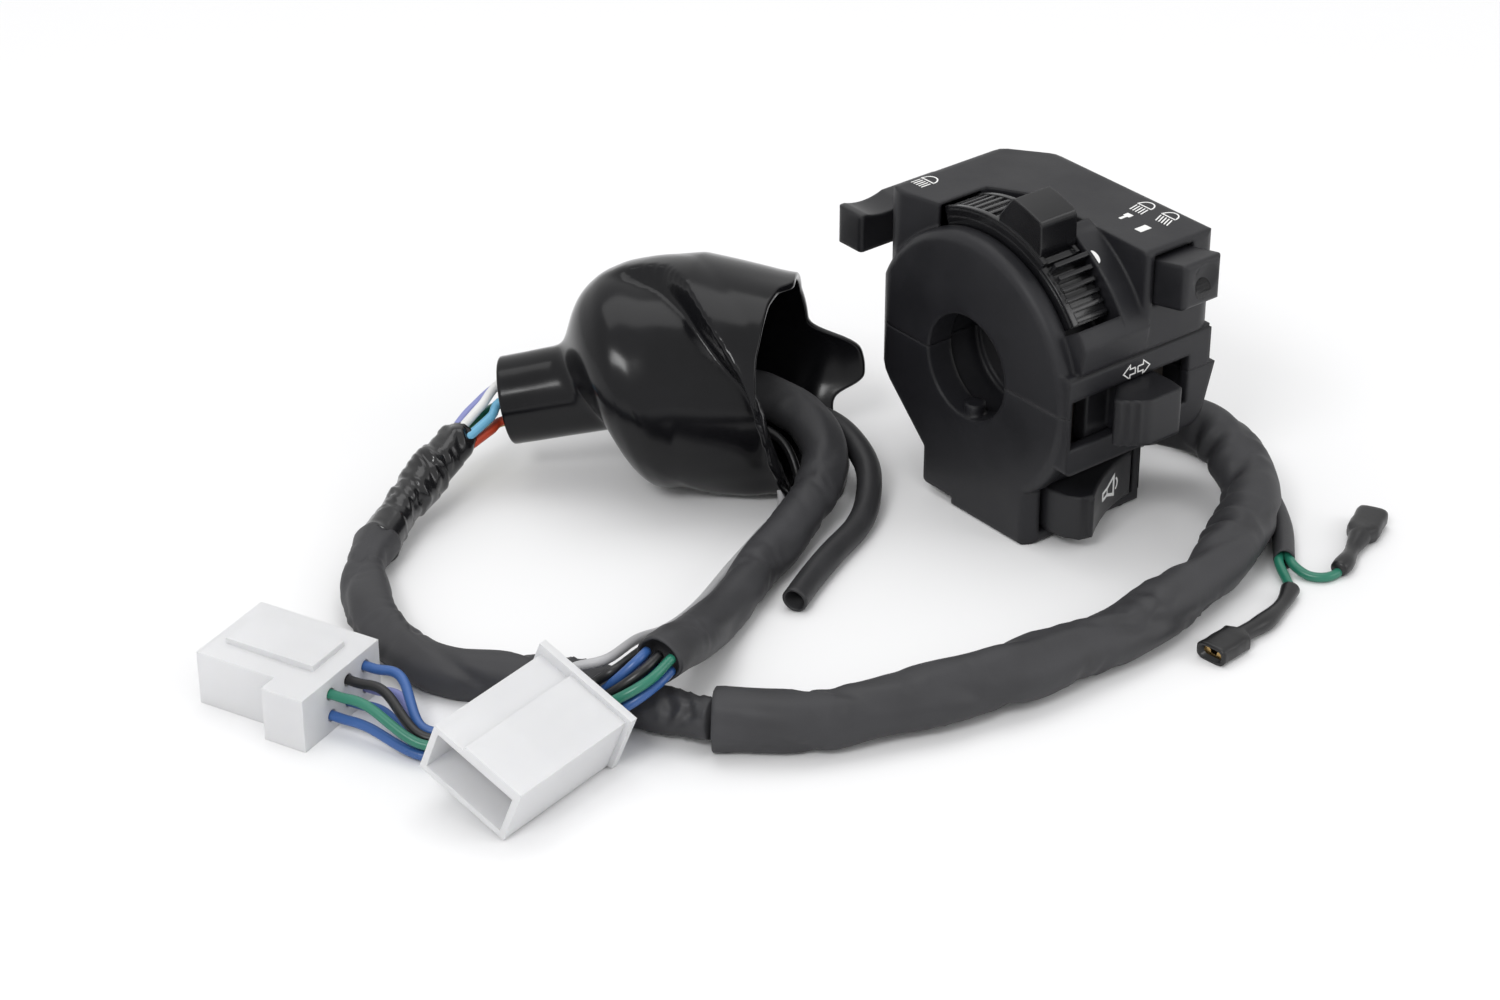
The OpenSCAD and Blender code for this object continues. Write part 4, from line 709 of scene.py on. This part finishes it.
# Width of the rounded edges, and the steps that are closed before them
ROUNDED = {
    "upper_housing": (0.7, 0.12), "lower_housing": (0.6, 0.12), "pass_trigger": (0.6, 0.1),
    "dimmer_button": (0.9, 0.1), "turn_knob": (0.5, 0.1), "horn_button": (0.5, 0.1),
    "connector_six_way": (0.35, 0.02), "connector_three_way": (0.35, 0.02),
}
FLAT_ANGLE, SHARP_ANGLE, EDGE_SEGMENTS, NORMAL_WEIGHT = math.radians(1.0), math.radians(35), 3, 50
for name, finish in FINISH.items():
    piece = nodes[name]
    piece.data.materials.clear()
    piece.data.materials.append(finish)
    if name in ROUNDED:
        width, step = ROUNDED[name]
        weld = piece.modifiers.new("weld", "WELD")
        weld.merge_threshold = step * MM
        flat = piece.modifiers.new("flat", "DECIMATE")
        flat.decimate_type = "DISSOLVE"
        flat.angle_limit = FLAT_ANGLE
        edge = piece.modifiers.new("edge", "BEVEL")
        edge.limit_method = "ANGLE"
        edge.angle_limit = SHARP_ANGLE
        edge.width = width * MM
        edge.segments = EDGE_SEGMENTS
        edge.use_clamp_overlap = True
        edge.harden_normals = False
        normal = piece.modifiers.new("normal", "WEIGHTED_NORMAL")
        normal.keep_sharp = False
        normal.weight = NORMAL_WEIGHT

# Return springs, coiled between the housing and the button they push: body, width, turns
SPRINGS = {"pass_spring": ("pass", 2.6, 3), "dimmer_spring": ("dimmer", 4.2, 5), "horn_spring": ("horn", 5.0, 4)}
SPRING_WIRE, SPRING_SIDES, TURN_STEPS = 0.7, 8, 16
for name, (body, wide, turns) in SPRINGS.items():
    corners = [nodes[name].matrix_world @ Vector(c) / MM for c in nodes[name].bound_box]
    low = Vector([min(c[k] for c in corners) for k in range(3)])
    high = Vector([max(c[k] for c in corners) for k in range(3)])
    x, z = (low.x + high.x) / 2, (low.z + high.z) / 2
    first, last = low.y + SPRING_WIRE / 2, high.y - SPRING_WIRE / 2
    r = (wide - SPRING_WIRE) / 2
    line = []
    for k in range(turns * TURN_STEPS + 1):
        a = 2 * math.pi * k / TURN_STEPS
        rise = (last - first) * k / (turns * TURN_STEPS)
        line.append(Vector((x + r * math.cos(a), first + rise, z - r * math.sin(a))))
    coil = tube(name + "_coil", line, wire_skin(SPRING_WIRE / 2), SPRING_SIDES, steel)
    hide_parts(name)
    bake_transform(coil)


# White print, and one dark slab of painted shade, laid on the CAD faces as thin slabs

def stroke(points, width):
    """A band along a polyline, as quads."""
    p = [Vector(q) for q in points]
    left, right = [], []
    for i, q in enumerate(p):
        before = (q - p[i - 1]).normalized() if i else (p[1] - q).normalized()
        after = (p[i + 1] - q).normalized() if i + 1 < len(p) else before
        t = (before + after).normalized() if (before + after).length > 1e-6 else before
        n = Vector((-t.y, t.x))
        grow = 1 / max(0.5, n.dot(Vector((-after.y, after.x))))
        left.append(q + n * width / 2 * grow)
        right.append(q - n * width / 2 * grow)
    return [[left[i], right[i], right[i + 1], left[i + 1]] for i in range(len(p) - 1)]


def arc(cx, cy, rx, ry, a0, a1, n=14):
    """Points on an oval from one angle to another."""
    return [(cx + rx * math.cos(math.radians(a0 + (a1 - a0) * k / n)),
             cy + ry * math.sin(math.radians(a0 + (a1 - a0) * k / n))) for k in range(n + 1)]


# Cells along each quad, how far out the rays start, how far off the face the print lies, and what is welded
CELLS, RAY_START, PRINT_GAP, WELD = 4, 30, 0.01, 0.000002


def printed(name, quads, at, right, up, into, node, body, paint=print_white, thick=0.06):
    """Lay quads drawn in millimetres on a node's faces, looking along into."""
    tree = BVHTree.FromObject(nodes[node], bpy.context.evaluated_depsgraph_get())
    right, up, into = unit(right), unit(up), unit(into)
    verts, faces = [], []
    for quad in quads:
        grid = {}
        for i in range(CELLS + 1):
            t = i / CELLS
            for j, q in enumerate((quad[0].lerp(quad[3], t), quad[1].lerp(quad[2], t))):
                start = Vector(at) + q.x * right + q.y * up - RAY_START * into
                hit = tree.ray_cast(start * MM, into)[0]
                if hit is not None:
                    grid[i, j] = (hit / MM - into * PRINT_GAP, hit / MM - into * thick)
        for i in range(CELLS):
            need = [(i, 0), (i, 1), (i + 1, 1), (i + 1, 0)]
            if all(k in grid for k in need):
                base = len(verts)
                verts += [grid[k][0] for k in need] + [grid[k][1] for k in need]
                faces += [(base + 3, base + 2, base + 1, base), (base + 4, base + 5, base + 6, base + 7)]
                faces += [(base + k, base + (k + 1) % 4, base + 4 + (k + 1) % 4, base + 4 + k) for k in range(4)]
    made = add_mesh(name, verts, faces, paint, smooth=False)
    weld = bmesh.new()
    weld.from_mesh(made.data)
    bmesh.ops.remove_doubles(weld, verts=weld.verts, dist=WELD)
    weld.to_mesh(made.data)
    weld.free()
    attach(made, body)
    return made


def lamp_sign(slant):
    """A lamp with its rays, level or falling."""
    quads = stroke(arc(0.7, 0, 2.1, 1.75, -90, 90) + [(0.7, 1.75)], 0.3)
    quads += stroke([(0.7, 1.9), (0.7, -1.9)], 0.3)
    for k in range(5):
        y = 1.5 - 0.75 * k
        quads += stroke([(0.1, y), (-2.3, y - slant)], 0.28)
    return quads


def block(x0, y0, x1, y1):
    """A filled oblong."""
    return [[Vector((x0, y0)), Vector((x1, y0)), Vector((x1, y1)), Vector((x0, y1))]]


RIGHT, AWAY, UP, DOWN, IN = (1, 0, 0), (0, 1, 0), (0, 0, 1), (0, 0, -1), (0, 1, 0)
TOP = 29.5
BUTTON_OUT = block(-1.5, -0.35, 0.2, 0.35) + block(0.2, -0.8, 1.5, 0.8)
BUTTON_IN = block(-1.5, -0.9, -0.2, 0.9) + block(-0.2, -0.9, 1.4, 0.9)
for name, quads, x, y in (
        ("print_main_beam", lamp_sign(0.5), 12.9, -13.0), ("print_dipped_beam", lamp_sign(1.0), 13.3, -19.2),
        ("print_button_out", BUTTON_OUT, 7.6, -13.8), ("print_button_in", BUTTON_IN, 6.6, -19.8),
        ("print_passing_lamp", lamp_sign(0.0), -12.1, 22.2)):
    printed(name, quads, (x, y, TOP), RIGHT, AWAY, DOWN, "upper_housing", "housing")


ARROW = [(0.35, 0.62), (1.75, 0.62), (1.75, 1.5), (3.5, 0), (1.75, -1.5), (1.75, -0.62), (0.35, -0.62), (0.35, 0.62)]
ARROWS_AT = (-1.7, -28.4, 5.3)
arrows = stroke(ARROW, 0.26) + stroke([(-x, y) for x, y in ARROW], 0.26)
printed("print_turn_arrows", arrows, ARROWS_AT, RIGHT, UP, IN, "upper_housing", "housing")


def bands(count, reach=88):
    """Pairs of angles that cut a round sign into bands."""
    return [[math.radians(-reach + 2 * reach * j / count) for j in (k, k + 1)] for k in range(count)]


# Half dot beside the choke lever's slot
DOT_AT, DOT_OUT, DOT_X, DOT_W, DOT_H, DOT_BANDS = math.radians(55), 32.4, -4.8, 0.9, 1.5, 11
dot_mid = (DOT_X, -math.cos(DOT_AT) * DOT_OUT, math.sin(DOT_AT) * DOT_OUT)
dot_in = (0, math.cos(DOT_AT), -math.sin(DOT_AT))
dot_up = (0, math.sin(DOT_AT), math.cos(DOT_AT))
half_dot = [[Vector((DOT_W * math.cos(a0), DOT_H * math.sin(a0))), Vector((0, DOT_H * math.sin(a0))),
             Vector((0, DOT_H * math.sin(a1))), Vector((DOT_W * math.cos(a1), DOT_H * math.sin(a1)))]
            for a0, a1 in bands(DOT_BANDS)]
printed("print_choke_dot", half_dot, dot_mid, RIGHT, dot_up, dot_in, "upper_housing", "housing")

# Horn sign, to the right of the button's middle
HORN_SIZE, HORN_ASIDE = 1.4, 3.2
HORN = [(-2.2, -0.55), (-2.2, 0.55), (-0.6, 0.55), (1.4, 1.5), (1.4, -1.5), (-0.6, -0.55), (-2.2, -0.55)]
horn_sign = stroke(HORN, 0.46) + stroke([(-0.6, 0.55), (-0.6, -0.55)], 0.3)
horn_sign += stroke(arc(1.2, 0, 1.2, 1.2, -50, 50), 0.3)
horn_sign = [[HORN_SIZE * corner for corner in quad] for quad in horn_sign]
horn_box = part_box("horn_button")
horn_mid = ((horn_box[0].x + horn_box[1].x) / 2 / MM + HORN_ASIDE, 0, (horn_box[0].z + horn_box[1].z) / 2 / MM)
printed("print_horn", horn_sign, horn_mid, RIGHT, UP, IN, "horn_button", "horn")

# Dark, glossy slab on the floor of the dimmer button's dimple: painted shade in the hollow
DIMPLE_R, DIMPLE_BANDS = 2.1, 12
dimmer_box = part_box("dimmer_button")
dimmer_mid = (dimmer_box[0] + dimmer_box[1]) / 2 / MM
dimmer_mid.y = dimmer_box[0].y / MM
dimple_shade = []
for low, high in bands(DIMPLE_BANDS):
    corners = [(-math.cos(low), math.sin(low)), (math.cos(low), math.sin(low)), (math.cos(high), math.sin(high)),
               (-math.cos(high), math.sin(high))]
    dimple_shade.append([Vector(c) * DIMPLE_R for c in corners])
# The darker gloss-black slab is painted shade in the dimple
printed("dimmer_dimple_painted_shade", dimple_shade, dimmer_mid, RIGHT, UP, IN, "dimmer_button", "dimmer", gloss_black)


# Stage: pale floor, soft light, white surroundings

def area(name, at, to, size, power):
    """A soft light, in metres and watts."""
    made = bpy.data.objects.new(name, bpy.data.lights.new(name, "AREA"))
    made.data.shape = "RECTANGLE"
    made.data.size, made.data.size_y = size
    made.data.energy = power
    made.location = at
    made.rotation_mode = "QUATERNION"
    made.rotation_quaternion = (Vector(to) - Vector(at)).to_track_quat("-Z", "Y")
    scene.collection.objects.link(made)


area("key", (-0.75, -0.35, 0.75), (-0.05, 0, 0), (0.34, 0.24), 3.6)
area("fill", (0.55, -0.8, 0.5), (0, 0, 0), (0.5, 0.5), 1.7)
area("top", (0.05, 0.25, 0.95), (-0.05, 0, 0), (0.9, 0.6), 2.6)
# Strength of the white surroundings as light, and as the camera sees them
SKY_LIGHT, SKY_SEEN = 0.78, 1.0
world = bpy.data.worlds.new("studio")
world.use_nodes = True
scene.world = world
sky = world.node_tree
rays = sky.nodes.new("ShaderNodeLightPath")
seen = sky.nodes.new("ShaderNodeMath")
seen.operation = "MAXIMUM"
sky.links.new(rays.outputs["Is Camera Ray"], seen.inputs[0])
sky.links.new(rays.outputs["Is Transmission Ray"], seen.inputs[1])
level = sky.nodes.new("ShaderNodeMapRange")
socket(level, "To Min", SKY_LIGHT)
socket(level, "To Max", SKY_SEEN)
sky.links.new(seen.outputs[0], level.inputs["Value"])
backdrop = sky.nodes["Background"]
socket(backdrop, "Color", (1, 1, 1, 1))
sky.links.new(level.outputs["Result"], backdrop.inputs["Strength"])

floor_paint = bpy.data.materials.new("floor_paint")
floor_paint.use_nodes = True
floor_shader = floor_paint.node_tree.nodes["Principled BSDF"]
socket(floor_shader, "Base Color", (0.86, 0.86, 0.865, 1))
socket(floor_shader, "Roughness", 0.7)
socket(floor_shader, "Specular IOR Level", 0.15)
HALF = 4000
CORNERS = [(-HALF, -HALF, FLOOR), (HALF, -HALF, FLOOR), (HALF, HALF, FLOOR), (-HALF, HALF, FLOOR)]
floor = add_mesh("floor", CORNERS, [(0, 1, 2, 3)], floor_paint, smooth=False)
